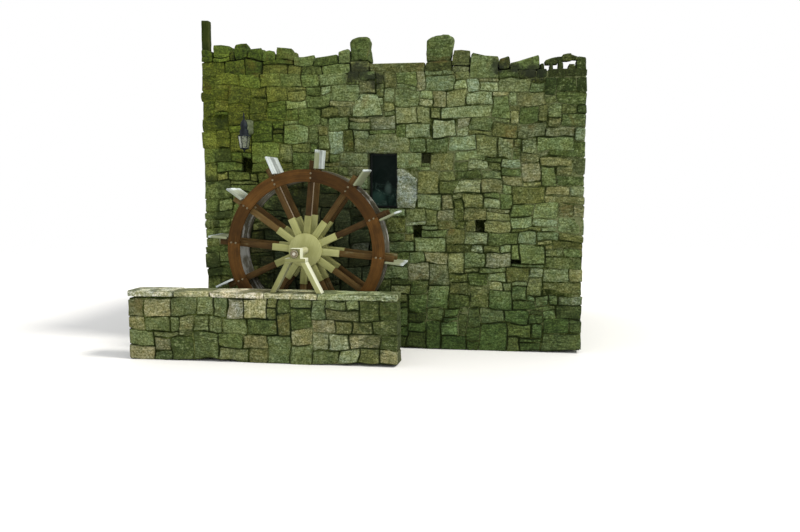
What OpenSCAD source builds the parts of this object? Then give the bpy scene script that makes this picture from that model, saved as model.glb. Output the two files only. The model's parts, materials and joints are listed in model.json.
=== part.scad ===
// Small stone watermill: a rubble building with a ragged parapet, and a timber
// water wheel that turns between its front wall and a low pier wall.
// The wall's outer face is the plane y = 0 of the building, the wheel is at -y.

/* [Building] */
// Width of the building along its front
building_w = 5560; // [4600:100:7000]
// Depth of the building from the front face to the back face
building_d = 4000; // [3000:100:6000]
// Thickness of every masonry wall
wall_t = 450; // [350:10:600]
// Height of the level wall head that the coping stones stand on
wall_h = 4000; // [3900:50:4800]
// Height of the ground floor's surface above the water
floor_z = 1200; // [900:50:1400]
// Height of the terrace's surface above the water
terrace_z = 3400; // [3300:50:3700]
// Thickness of the floor and the terrace
slab_t = 150; // [100:10:250]

/* [Front window] */
// Distance of the window's left jamb left of the building's middle
window_left = 290; // [100:10:600]
// Width of the window opening
window_w = 416; // [300:10:700]
// Height of the window's sill above the water
window_sill_z = 2055; // [1500:50:2100]
// Height of the window opening
window_h = 798; // [500:10:800]
// Depth of the pane behind the wall's face
pane_depth = 170; // [80:10:300]
// Width of the window frame's bars
frame_bar = 32; // [20:1:60]
// Thickness of the window frame
frame_t = 45; // [30:1:70]
// Thickness of the window's glass
glass_t = 5; // [4:1:8]
// Length of the arched stone over the window
lintel_w = 800; // [620:10:1100]
// Height of the arched stone at its ends
lintel_end_h = 190; // [120:10:260]
// Rise of the arched stone in its middle
lintel_rise = 75; // [20:5:150]
// Width of the big stone at the window's right jamb
jamb_w = 300; // [200:10:400]
// Height of the big stone's left edge
jamb_h = 570; // [400:10:600]

/* [Back doorway] */
// Distance of the doorway's middle right of the building's middle
door_right = 1100; // [900:10:1400]
// Width of the doorway in the back wall
door_w = 900; // [700:10:1200]
// Height of the doorway above the floor
door_h = 1850; // [1700:10:1950]
// Height of the lintel over the doorway
door_lintel_h = 200; // [140:10:300]
// Length of the doorway lintel that bears on each side
door_lintel_bearing = 200; // [100:10:300]

/* [Parapet stones] */
// Width of the joint between neighbouring coping stones
coping_joint = 12; // [6:1:30]
// Depth of the coping stones across the wall
coping_d = 430; // [300:10:450]
// Width of the upright stone left of the notch
upright_left_w = 285; // [200:10:400]
// Height of the upright stone left of the notch
upright_left_h = 352; // [200:10:450]
// Width of the upright stone right of the notch
upright_right_w = 365; // [200:10:450]
// Height of the upright stone right of the notch
upright_right_h = 370; // [200:10:450]
// Depth of the two upright stones
upright_d = 300; // [200:10:400]
// Side of the square timber post on the left corner
post_side = 120; // [100:5:200]
// Length that the timber post stands out past the building's left side
post_overhang = 50; // [0:5:60]
// Height of the timber post above the corner stone
post_h = 460; // [200:10:600]

/* [Pier wall] */
// Length of the pier wall
pier_l = 3750; // [3000:50:5000]
// Distance of the pier wall's right end right of the building's middle
pier_right = 310; // [0:10:800]
// Thickness of the pier wall
pier_t = 400; // [300:10:550]
// Height of the pier wall with its coping
pier_h = 960; // [900:10:1100]
// Thickness of the pier wall's coping
pier_coping_t = 85; // [50:5:150]
// Clear width of the wheel race between the wall and the pier
race_w = 800; // [720:10:1000]

/* [Wheel] */
// Distance of the axle left of the building's middle
axle_left = 1065; // [800:5:1400]
// Height of the axle above the water
axle_z = 1490; // [1450:5:1600]
// Outer radius of the rims
rim_r = 1120; // [900:10:1160]
// Radial width of the rims
rim_w = 170; // [100:5:220]
// Thickness of each rim
rim_t = 42; // [30:1:60]
// Distance between the outer faces of the two rims
wheel_w = 460; // [380:10:480]
// Distance of the wheel's middle plane from the wall's face
wheel_gap = 440; // [400:5:480]
// Number of spokes in each set
spokes = 12; // [8:1:16]
// Turn of the first spoke above the level
spoke_turn = -5.2; // [-15:0.1:15]
// Width of a spoke
spoke_w = 84; // [60:1:110]
// Thickness of a spoke
spoke_t = 50; // [35:1:60]
// Length of a spoke beyond the rim
spoke_out = 125; // [60:5:200]
// Width of the socket round a spoke's inner end
socket_w = 96; // [90:1:120]
// Thickness of the socket round a spoke's inner end
socket_t = 70; // [60:1:90]
// Radius at which the sockets end
socket_r = 480; // [400:10:650]
// Depth of a spoke's tenon in its socket
tenon_d = 120; // [60:5:200]
// Radius of the hub's plates
hub_r = 235; // [210:5:300]
// Thickness of a hub plate
hub_plate_t = 25; // [15:1:40]
// Radius at which the float boards end
float_r = 1400; // [1300:10:1430]
// Width of a float board along the axle
float_w = 530; // [480:10:560]
// Thickness of a float board
float_t = 26; // [18:1:40]
// Gap between the rims and the float boards
float_gap = 18; // [8:1:40]

/* [Axle and bearings] */
// Radius of the axle
axle_r = 50; // [40:1:60]
// Length of the axle in front of the trestle
axle_nose = 45; // [20:5:100]
// Radial clearance of the axle in its bearings
running_gap = 0.1; // [0.05:0.01:0.1]
// Radial clearance between the axle and what is fixed on it
fixed_gap = 0.05; // [0.02:0.01:0.1]
// Clearance of a tenon in its socket
tenon_gap = 0.5; // [0.2:0.1:1]
// Radius of the plate of the bearing on the wall
wall_plate_r = 150; // [120:5:200]
// Thickness of the plate of the bearing on the wall
wall_plate_t = 25; // [15:1:40]
// Radius of the boss of the bearing on the wall
wall_boss_r = 90; // [75:1:110]
// Length of the boss of the bearing on the wall
wall_boss_l = 110; // [60:5:130]

/* [Trestle] */
// Width across a trestle leg
leg_w = 62; // [45:1:90]
// Depth of the trestle along the axle
leg_d = 150; // [100:5:200]
// Slope of the legs from the upright
leg_slope = 27.5; // [18:0.5:32]
// Distance of the trestle's front behind the pier wall's front
trestle_back = 20; // [0:5:100]
// Thickness of the crosspiece
cross_t = 52; // [35:1:80]
// Width of the bearing block under and round the axle
block_w = 142; // [124:1:180]
// Height of the bearing block
block_h = 130; // [124:1:170]

/* [Lantern] */
// Distance of the lantern left of the building's middle
lantern_left = 2065; // [1800:5:2400]
// Height of the lantern's lowest point
lantern_z = 2865; // [2700:5:3000]
// Distance of the lantern's middle from the wall
lantern_out = 210; // [120:5:260]
// Radius of the glazed body at its top
lantern_r = 88; // [60:1:100]
// Radius of the glazed body at its bottom
lantern_foot_r = 59; // [30:1:70]
// How far the lantern's panes are turned from square with the wall, in degrees
lantern_turn = 20; // [0:1:60]
// Height of the glazed body
lantern_body_h = 168; // [120:5:220]
// Height of the lantern's foot with its knob
lantern_foot_h = 56; // [40:1:90]
// Height of the lantern's roof with its dome and finial
lantern_roof_h = 345; // [240:5:400]
// Thickness of the lantern's glass
lantern_glass_t = 4; // [3:1:6]

/* [Hidden] */
$fn = 64;

// Each coping stone of the front wall: its left edge, its right edge, and the
// heights of its left shoulder, middle and right shoulder above the wall head
front_coping_stones = [
    [-2780, -2600, 350, 350, 350],
    [-2600, -2320, 370, 425, 350],
    [-2320, -2255, 300, 330, 335],
    [-2255, -2060, 385, 410, 380],
    [-2060, -1860, 300, 350, 350],
    [-1860, -1665, 280, 318, 285],
    [-1665, -1380, 330, 358, 335],
    [-1380, -1075, 250, 268, 262],
    [-1075, -740, 225, 258, 266],
    [-740, -565, 300, 308, 300],
    [-565, -276, 146, 150, 148],
    [-276, 530, 126, 118, 122],
    [530, 915, 136, 140, 138],
    [915, 1168, 215, 305, 180],
    [1168, 1430, 225, 250, 175],
    [1430, 1690, 165, 140, 105],
    [1690, 2135, 90, 165, 190],
    [2135, 2365, 75, 142, 115],
    [2365, 2590, 150, 184, 140],
    [2590, 2780, 125, 140, 110]
];
// Indices of the coping stones that carry the post and the two upright stones
post_seat = 0;
upright_left_seat = 10;
upright_right_seat = 12;
// Lengths and heights that the coping stones of the other walls repeat
plain_coping_l = [310, 240, 390, 280, 350];
plain_coping_h = [110, 130, 95, 120, 100, 135, 105];

half_w = building_w / 2;
terrace_under = terrace_z - slab_t;
window_right = window_w - window_left;
window_top = window_sill_z + window_h;
lintel_mid = window_w / 2 - window_left;
lintel_top = window_top + lintel_end_h;
jamb_drop = jamb_h / 8;
door_top = floor_z + door_h;
door_x0 = door_right - door_w / 2;
door_x1 = door_right + door_w / 2;

// The wheel's layers along y, counted out from its middle plane
rim_out = wheel_w / 2;
spoke_out_y = rim_out - rim_t;
spoke_in_y = spoke_out_y - spoke_t;
spoke_mid_y = (spoke_out_y + spoke_in_y) / 2;
socket_out_y = spoke_mid_y + socket_t / 2;
socket_in_y = spoke_mid_y - socket_t / 2;
rim_in_r = rim_r - rim_w;
socket_foot_r = socket_w / 2 / tan(180 / spokes) + 2;
hub_core_r = socket_foot_r - 2;
float_in_r = rim_r + float_gap;

pier_front = -race_w - pier_t;
trestle_front = pier_front + trestle_back;
axle_front = trestle_front - axle_nose;
axle_back = -wall_plate_t / 2;
cross_under = axle_z - block_h / 2 - cross_t;

// The building is drawn round its own middle, and the whole is then shifted
// so that the origin is under the middle of everything
left_most = min(-half_w, pier_right - pier_l);
shift_x = -(left_most + half_w) / 2;
front_most = min(axle_front, pier_front);
shift_y = -(front_most + building_d) / 2;

module placed() {
    translate([shift_x, shift_y, 0]) children();
}

module slab(x0, x1, y0, y1, z0, z1) {
    translate([x0, y0, z0]) cube([x1 - x0, y1 - y0, z1 - z0]);
}

// A profile drawn in x and z, given its depth along y from y0
module upright_profile(y0, depth) {
    translate([0, y0 + depth, 0]) rotate([90, 0, 0]) linear_extrude(depth) children();
}

// The front wall round its window
module lintel_profile() {
    arch_half = lintel_w / 2;
    arch_r = (arch_half * arch_half + lintel_rise * lintel_rise) / (2 * lintel_rise);
    translate([lintel_mid, 0]) intersection() {
        translate([-arch_half, window_top]) square([lintel_w, lintel_end_h + lintel_rise]);
        translate([0, lintel_top + lintel_rise - arch_r]) circle(arch_r, $fn = 180);
    }
}

module jamb_profile() {
    translate([window_right, window_sill_z])
        polygon([[0, 0], [jamb_w * 0.88, 0], [jamb_w, jamb_h * 0.3],
                 [jamb_w, jamb_h - jamb_drop * 2], [jamb_w * 0.45, jamb_h - jamb_drop / 2],
                 [jamb_w * 0.2, jamb_h], [0, jamb_h]]);
}

module front_wall_left() {
    color("darkkhaki") placed() upright_profile(0, wall_t) difference() {
        translate([-half_w, 0]) square([half_w - window_left, wall_h]);
        lintel_profile();
    }
}

module front_wall_right() {
    color("darkkhaki") placed() upright_profile(0, wall_t) difference() {
        translate([window_right, 0]) square([half_w - window_right, wall_h]);
        lintel_profile();
        jamb_profile();
    }
}

module front_wall_under_window() {
    color("darkkhaki") placed()
        slab(-window_left, window_right, 0, wall_t, 0, window_sill_z);
}

module front_wall_over_window() {
    color("darkkhaki") placed() upright_profile(0, wall_t) difference() {
        translate([-window_left, window_top]) square([window_w, wall_h - window_top]);
        lintel_profile();
    }
}

module window_lintel() {
    color("tan") placed() upright_profile(0, wall_t) lintel_profile();
}

module window_jamb_stone() {
    color("lightgrey") placed() upright_profile(0, wall_t) jamb_profile();
}

module window_frame() {
    color("darkslategrey") placed() difference() {
        slab(-window_left, window_right, pane_depth, pane_depth + frame_t,
             window_sill_z, window_top);
        slab(-window_left + frame_bar, window_right - frame_bar,
             pane_depth - 1, pane_depth + frame_t + 1,
             window_sill_z + frame_bar, window_top - frame_bar);
    }
}

module window_glass() {
    glass_y = pane_depth + (frame_t - glass_t) / 2;
    color("teal") placed()
        slab(-window_left + frame_bar, window_right - frame_bar,
             glass_y, glass_y + glass_t,
             window_sill_z + frame_bar, window_top - frame_bar);
}

// The other three walls, with a doorway in the back wall
module left_wall() {
    color("darkkhaki") placed()
        slab(-half_w, wall_t - half_w, wall_t, building_d - wall_t, 0, wall_h);
}

module right_wall() {
    color("darkkhaki") placed()
        slab(half_w - wall_t, half_w, wall_t, building_d - wall_t, 0, wall_h);
}

module door_lintel_block() {
    slab(door_x0 - door_lintel_bearing, door_x1 + door_lintel_bearing,
         building_d - wall_t, building_d, door_top, door_top + door_lintel_h);
}

module back_wall_left() {
    color("darkkhaki") placed() difference() {
        slab(-half_w, door_x0, building_d - wall_t, building_d, 0, wall_h);
        door_lintel_block();
    }
}

module back_wall_right() {
    color("darkkhaki") placed() difference() {
        slab(door_x1, half_w, building_d - wall_t, building_d, 0, wall_h);
        door_lintel_block();
    }
}

module back_wall_over_door() {
    color("darkkhaki") placed()
        slab(door_x0, door_x1, building_d - wall_t, building_d,
             door_top + door_lintel_h, wall_h);
}

module door_lintel() {
    color("tan") placed() door_lintel_block();
}

module back_wall_under_door() {
    color("darkkhaki") placed()
        slab(door_x0, door_x1, building_d - wall_t, building_d, 0, floor_z);
}

module ground_floor() {
    color("grey") placed()
        slab(wall_t - half_w, half_w - wall_t, wall_t, building_d - wall_t,
             floor_z - slab_t, floor_z);
}

module terrace() {
    color("grey") placed()
        slab(wall_t - half_w, half_w - wall_t, wall_t, building_d - wall_t,
             terrace_under, terrace_z);
}

// A coping stone: its two ends, its shoulder heights and its middle height
module coping_stone(x0, x1, left_h, mid_h, right_h, y0) {
    rounding = min(x1 - x0, left_h) / 6;
    upright_profile(y0, coping_d) polygon([
        [x0, wall_h], [x1, wall_h],
        [x1, wall_h + right_h - rounding], [x1 - rounding, wall_h + right_h],
        [(x0 + x1) / 2, wall_h + mid_h],
        [x0 + rounding, wall_h + left_h], [x0, wall_h + left_h - rounding]]);
}

// Width of the building against the width that the coping list was made for
stretch_x = building_w / (front_coping_stones[len(front_coping_stones) - 1][1]
                          - front_coping_stones[0][0]);

module front_coping() {
    color("olivedrab") placed() for (stone = front_coping_stones)
        coping_stone(stone[0] * stretch_x + coping_joint / 2,
                     stone[1] * stretch_x - coping_joint / 2,
                     stone[2], stone[3], stone[4], (wall_t - coping_d) / 2);
}

// Start of stone i in a plain row, and how many stones fill a length
function row_start(i) = i == 0 ? 0 : row_start(i - 1) + plain_coping_l[(i - 1) % len(plain_coping_l)];
function row_count(length, i = 0) = row_start(i + 1) > length ? i : row_count(length, i + 1);

module coping_row(length) {
    count = row_count(length);
    stretch = length / row_start(count);
    for (i = [0 : count - 1]) {
        h = plain_coping_h[i % len(plain_coping_h)];
        coping_stone(row_start(i) * stretch + coping_joint / 2,
                     row_start(i + 1) * stretch - coping_joint / 2,
                     h * 0.92, h, h * 0.85, -coping_d / 2);
    }
}

side_row_l = building_d - 2 * wall_t;

module left_coping() {
    color("olivedrab") placed() translate([wall_t / 2 - half_w, wall_t, 0])
        rotate([0, 0, 90]) coping_row(side_row_l);
}

module right_coping() {
    color("olivedrab") placed() translate([half_w - wall_t / 2, building_d - wall_t, 0])
        rotate([0, 0, -90]) coping_row(side_row_l);
}

module back_coping() {
    color("olivedrab") placed() translate([half_w, building_d - wall_t / 2, 0])
        rotate([0, 0, 180]) coping_row(building_w);
}

// The upright stones stand on coping stones whose tops are cut level for them
function seat_x(i) = (front_coping_stones[i][0] + front_coping_stones[i][1]) / 2 * stretch_x;
function seat_h(i) = front_coping_stones[i][3];

module upright_stone(seat, width, height) {
    x0 = seat_x(seat) - width / 2;
    z0 = wall_h + seat_h(seat);
    upright_profile((wall_t - upright_d) / 2, upright_d) polygon([
        [x0 + width * 0.04, z0], [x0 + width * 0.96, z0],
        [x0 + width, z0 + height * 0.9], [x0 + width * 0.88, z0 + height],
        [x0 + width * 0.45, z0 + height * 0.97], [x0 + width * 0.12, z0 + height * 0.86],
        [x0, z0 + height * 0.72]]);
}

module left_upright_stone() {
    color("darkolivegreen") placed() upright_stone(upright_left_seat, upright_left_w, upright_left_h);
}

module right_upright_stone() {
    color("darkolivegreen") placed() upright_stone(upright_right_seat, upright_right_w, upright_right_h);
}

module corner_post() {
    x0 = -half_w - post_overhang;
    z0 = wall_h + seat_h(post_seat);
    color("saddlebrown") placed()
        slab(x0, x0 + post_side, (wall_t - post_side) / 2, (wall_t + post_side) / 2,
             z0, z0 + post_h);
}

// The low wall that carries the wheel's outer bearing
module pier_wall() {
    color("darkkhaki") placed()
        slab(pier_right - pier_l, pier_right, pier_front, -race_w,
             0, pier_h - pier_coping_t);
}

module pier_coping() {
    color("rosybrown") placed()
        slab(pier_right - pier_l, pier_right, pier_front, -race_w,
             pier_h - pier_coping_t, pier_h);
}

// The trestle: two sloping legs, a crosspiece and a bearing block
leg_x = leg_w / cos(leg_slope);
leg_top_half = block_w / 2 + leg_x;
leg_run = (cross_under - pier_h) * tan(leg_slope);

module trestle_leg() {
    upright_profile(trestle_front, leg_d) polygon([
        [leg_top_half - leg_x, cross_under], [leg_top_half, cross_under],
        [leg_top_half + leg_run, pier_h], [leg_top_half + leg_run - leg_x, pier_h]]);
}

module trestle_left_leg() {
    color("lightgoldenrodyellow") placed() translate([-axle_left, 0, 0])
        mirror([1, 0, 0]) trestle_leg();
}

module trestle_right_leg() {
    color("lightgoldenrodyellow") placed() translate([-axle_left, 0, 0]) trestle_leg();
}

module trestle_crosspiece() {
    color("lightgoldenrodyellow") placed()
        slab(-axle_left - leg_top_half, -axle_left + leg_top_half,
             trestle_front, trestle_front + leg_d, cross_under, cross_under + cross_t);
}

// A cylinder round the axle's line from y0 to y1
module axle_disc(r, y0, y1) {
    translate([-axle_left, y1, axle_z]) rotate([90, 0, 0]) cylinder(h = y1 - y0, r = r);
}

module front_bearing() {
    color("lightgoldenrodyellow") placed() difference() {
        slab(-axle_left - block_w / 2, -axle_left + block_w / 2,
             trestle_front, trestle_front + leg_d,
             axle_z - block_h / 2, axle_z + block_h / 2);
        axle_disc(axle_r + running_gap, trestle_front - 1, trestle_front + leg_d + 1);
    }
}

module wall_bearing() {
    color("dimgrey") placed() difference() {
        union() {
            axle_disc(wall_plate_r, -wall_plate_t, 0);
            axle_disc(wall_boss_r, -wall_boss_l, -wall_plate_t);
        }
        axle_disc(axle_r + running_gap, -wall_boss_l - 1, axle_back + 1);
    }
}

// The wall lantern: a bracket, a foot, six panes and a roof with a dome and a finial
lantern_x = -lantern_left;
lantern_foot_z = lantern_z + lantern_foot_h;
lantern_body_top = lantern_foot_z + lantern_body_h;
lantern_roof_r = lantern_r + 5;
bracket_r = 9;
bracket_plate_w = 140;
bracket_plate_h = 220;
bracket_plate_t = 12;
bracket_arm_z = lantern_body_top + lantern_roof_h * 0.17;

module bracket_arm(radius, reach) {
    translate([lantern_x, -bracket_plate_t, bracket_arm_z]) rotate([90, 0, 0])
        cylinder(h = reach - bracket_plate_t, r = radius);
}

module lantern_bracket() {
    color("black") placed() {
        upright_profile(-bracket_plate_t, bracket_plate_t)
            translate([lantern_x, lantern_body_top + bracket_plate_h * 0.64])
                scale(bracket_plate_h / 2) intersection() {
                    circle(1);
                    square([2 * bracket_plate_w / bracket_plate_h, 2], center = true);
                }
        bracket_arm(bracket_r, lantern_out);
    }
}

module lantern_foot() {
    color("black") placed() translate([lantern_x, -lantern_out, lantern_z]) rotate_extrude()
        polygon([
            [0, 0], [8, 2], [11, lantern_foot_h * 0.16], [6, lantern_foot_h * 0.34],
            [16, lantern_foot_h * 0.5], [lantern_foot_r * 0.7, lantern_foot_h * 0.72],
            [lantern_foot_r + 4, lantern_foot_h * 0.82], [lantern_foot_r + 4, lantern_foot_h],
            [0, lantern_foot_h]]);
}

module lantern_glass() {
    color("lightcyan") placed() translate([lantern_x, -lantern_out, lantern_foot_z])
        rotate([0, 0, lantern_turn]) difference() {
            cylinder(h = lantern_body_h, r1 = lantern_foot_r, r2 = lantern_r, $fn = 6);
            translate([0, 0, -0.01])
                cylinder(h = lantern_body_h + 0.02, r1 = lantern_foot_r - lantern_glass_t,
                         r2 = lantern_r - lantern_glass_t, $fn = 6);
        }
}

// A point of the roof's outline as shares of its radius and its height
function roof_point(out, up) = [out * lantern_roof_r, up * lantern_roof_h];

module lantern_roof() {
    color("black") placed() difference() {
        translate([lantern_x, -lantern_out, lantern_body_top]) rotate_extrude() polygon([
            [0, 0], roof_point(1, 0), roof_point(1, 0.03), roof_point(0.7, 0.06),
            roof_point(0.66, 0.26), roof_point(0.46, 0.29), roof_point(0.55, 0.38),
            roof_point(0.56, 0.46), roof_point(0.47, 0.57), roof_point(0.3, 0.65),
            roof_point(0.14, 0.7), roof_point(0.11, 0.75), roof_point(0.17, 0.8),
            roof_point(0.12, 0.87), roof_point(0.06, 0.97), [0, lantern_roof_h]]);
        bracket_arm(bracket_r + fixed_gap, lantern_out + fixed_gap);
    }
}

// The wheel, drawn round its own middle with its axle along y
module at_wheel() {
    translate([-axle_left, -wheel_gap, axle_z]) children();
}

// A copy at each spoke, turned so that x runs out along the spoke
module round_wheel() {
    for (i = [0 : spokes - 1]) rotate([0, -spoke_turn - i * 360 / spokes, 0]) children();
}

// A disc round the axle between two distances from the wheel's middle
module wheel_disc(r, y0, y1) {
    translate([0, y1, 0]) rotate([90, 0, 0]) cylinder(h = y1 - y0, r = r);
}

module back_side() {
    mirror([0, 1, 0]) children();
}

module axle() {
    color("palegoldenrod") placed() axle_disc(axle_r, axle_front, axle_back);
}

module hub() {
    difference() {
        union() {
            wheel_disc(hub_r, -socket_out_y - hub_plate_t, -socket_out_y);
            wheel_disc(hub_core_r, -socket_out_y, -socket_in_y);
            wheel_disc(hub_r, -socket_in_y, -socket_in_y + hub_plate_t);
        }
        wheel_disc(axle_r + fixed_gap, -wheel_w, wheel_w);
    }
}

module front_hub() {
    color("khaki") placed() at_wheel() hub();
}

module back_hub() {
    color("khaki") placed() at_wheel() back_side() hub();
}

module spoke(gap) {
    translate([socket_r - tenon_d - gap, -spoke_out_y - gap, -spoke_w / 2 - gap])
        cube([rim_r + spoke_out - socket_r + tenon_d + gap, spoke_t + 2 * gap, spoke_w + 2 * gap]);
}

module socket() {
    difference() {
        translate([socket_foot_r, -socket_out_y, -socket_w / 2])
            cube([socket_r - socket_foot_r, socket_t, socket_w]);
        spoke(tenon_gap);
    }
}

module front_sockets() {
    color("khaki") placed() at_wheel() round_wheel() socket();
}

module back_sockets() {
    color("khaki") placed() at_wheel() back_side() round_wheel() socket();
}

module front_spokes() {
    color("sienna") placed() at_wheel() round_wheel() spoke(0);
}

module back_spokes() {
    color("sienna") placed() at_wheel() back_side() round_wheel() spoke(0);
}

module rim() {
    difference() {
        wheel_disc(rim_r, -rim_out, -spoke_out_y);
        wheel_disc(rim_in_r, -rim_out - 1, -spoke_out_y + 1);
    }
}

module front_rim() {
    color("chocolate") placed() at_wheel() rim();
}

module back_rim() {
    color("chocolate") placed() at_wheel() back_side() rim();
}

// Each float board lies on the clockwise side of a pair of spoke ends
module float_boards() {
    color("gainsboro") placed() at_wheel() round_wheel()
        translate([float_in_r, -float_w / 2, -spoke_w / 2 - float_t])
            cube([float_r - float_in_r, float_w, float_t]);
}

front_wall_left();
front_wall_right();
front_wall_under_window();
front_wall_over_window();
left_wall();
right_wall();
back_wall_left();
back_wall_right();
back_wall_over_door();
back_wall_under_door();
ground_floor();
terrace();
front_coping();
left_coping();
right_coping();
back_coping();
left_upright_stone();
right_upright_stone();
corner_post();
window_lintel();
window_jamb_stone();
window_frame();
window_glass();
door_lintel();
pier_wall();
pier_coping();
trestle_left_leg();
trestle_right_leg();
trestle_crosspiece();
front_bearing();
wall_bearing();
lantern_bracket();
lantern_foot();
lantern_glass();
lantern_roof();
axle();
front_hub();
back_hub();
front_sockets();
back_sockets();
front_spokes();
back_spokes();
front_rim();
back_rim();
float_boards();
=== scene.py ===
"""A small stone watermill: rubble walls under a ragged parapet, a window, a wall lantern, and a
timber water wheel that turns between the front wall and a low pier wall.

Every length is in metres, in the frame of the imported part: x runs to the right along the front
wall, y into the building and z up from the water."""
import json
import math
import random
from contextlib import contextmanager
from dataclasses import dataclass

import bpy
import numpy as np
from mathutils import Matrix, Vector, noise


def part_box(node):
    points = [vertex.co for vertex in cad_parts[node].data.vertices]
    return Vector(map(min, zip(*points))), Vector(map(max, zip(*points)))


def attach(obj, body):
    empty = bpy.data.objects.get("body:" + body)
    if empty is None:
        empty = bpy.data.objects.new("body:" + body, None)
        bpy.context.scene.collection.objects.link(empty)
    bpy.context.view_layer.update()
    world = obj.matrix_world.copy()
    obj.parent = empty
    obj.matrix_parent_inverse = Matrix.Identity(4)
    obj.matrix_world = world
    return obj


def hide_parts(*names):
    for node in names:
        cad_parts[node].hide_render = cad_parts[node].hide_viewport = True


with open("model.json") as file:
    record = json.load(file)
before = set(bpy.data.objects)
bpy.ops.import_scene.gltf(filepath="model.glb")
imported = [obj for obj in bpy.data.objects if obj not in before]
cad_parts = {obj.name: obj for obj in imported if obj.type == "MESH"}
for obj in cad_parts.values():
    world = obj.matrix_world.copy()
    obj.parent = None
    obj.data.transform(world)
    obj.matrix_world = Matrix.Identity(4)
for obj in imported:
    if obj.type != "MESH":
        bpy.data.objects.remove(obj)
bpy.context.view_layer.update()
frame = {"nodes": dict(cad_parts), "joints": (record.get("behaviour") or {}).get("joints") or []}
# Without a seed, these noises start from the clock and every run gives other stones
noise.seed_set(2)

# The building's own planes, read from its walls. Everything that follows is placed from them.
left_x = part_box("left_wall")[0].x
right_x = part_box("right_wall")[1].x
front_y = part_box("front_wall_left")[0].y
back_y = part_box("back_wall_left")[1].y
head_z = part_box("left_wall")[1].z
wall_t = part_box("left_wall")[1].x - left_x
middle_x = (left_x + right_x) / 2

# The camera stands on the near bank, to the right of the wheel, a little over half the wall's
# height up. It looks slightly to the left and slightly down.
camera_at = (middle_x + 1.743, front_y - 11.15, 2.46)
camera_turn = math.radians(8.0)
camera_down = math.radians(6.3)

bpy.ops.object.select_all(action="DESELECT")
bpy.ops.object.camera_add(location=camera_at,
                          rotation=(math.pi / 2 - camera_down, 0, camera_turn))
bpy.context.scene.camera = bpy.context.object
camera = bpy.context.object.data
camera.lens = 35.0
camera.sensor_width = 36.0
camera.clip_end = 200
bpy.context.scene.view_settings.view_transform = "Standard"


# Soft studio light: an even white sky, and one wide lamp high on the right and slightly behind
# the front wall, so that it rakes along the stones and catches the tops and right-hand sides.
class Value:
    """A number or colour that changes over a surface, so that shader maths reads as sums."""

    def __init__(self, nodes, socket):
        self.nodes = nodes
        self.socket = socket

    def math(self, operation, first, second):
        return self.nodes.node("ShaderNodeMath", {0: first, 1: second}, operation=operation)

    def __add__(self, other):
        return self.math("ADD", self, other)

    def __sub__(self, other):
        return self.math("SUBTRACT", self, other)

    def __rsub__(self, other):
        return self.math("SUBTRACT", other, self)

    def __mul__(self, other):
        return self.math("MULTIPLY", self, other)

    __radd__ = __add__
    __rmul__ = __mul__


class Nodes:
    """A node tree in the making."""

    def __init__(self, tree):
        self.tree = tree

    def feed(self, socket, value):
        """Links a changing value to a socket, or sets a plain one on it."""
        if isinstance(value, Value):
            self.tree.links.new(value.socket, socket)
        else:
            socket.default_value = value

    def node(self, kind, inputs=None, output=0, stops=None, **settings):
        """Adds a node: its settings and a ramp's stops first, then what goes into its sockets."""
        made = self.tree.nodes.new(kind)
        for name, value in settings.items():
            setattr(made, name, value)
        if stops:
            ramp = made.color_ramp.elements
            while len(ramp) < len(stops):
                ramp.new(0.5)
            for spot, (position, colour) in zip(ramp, stops):
                spot.position = position
                spot.color = (*colour, 1)
        for name, value in (inputs or {}).items():
            self.feed(made.inputs[name], value)
        return Value(self, made.outputs[output])


sky_light = 0.92
key_turn = math.radians(82)
key_height = math.radians(50)

world = bpy.data.worlds.new("studio")
bpy.context.scene.world = world
world.use_nodes = True
sky = Nodes(world.node_tree)
straight, mirrored, through_glass = (sky.node("ShaderNodeLightPath", output=ray) for ray in (
    "Is Camera Ray", "Is Glossy Ray", "Is Transmission Ray"))
background = world.node_tree.nodes["Background"]
background.inputs["Color"].default_value = (1, 1, 1, 1)
sky.feed(background.inputs["Strength"], sky.node("ShaderNodeMapRange", {
    "Value": straight + mirrored + through_glass, "To Min": sky_light, "To Max": 1.0}))

bpy.ops.object.light_add(type="SUN", rotation=(math.pi / 2 - key_height, 0, key_turn))
key = bpy.context.object.data
key.energy = 2.6
key.angle = math.radians(14)
key.color = (1.0, 0.96, 0.88)


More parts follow.
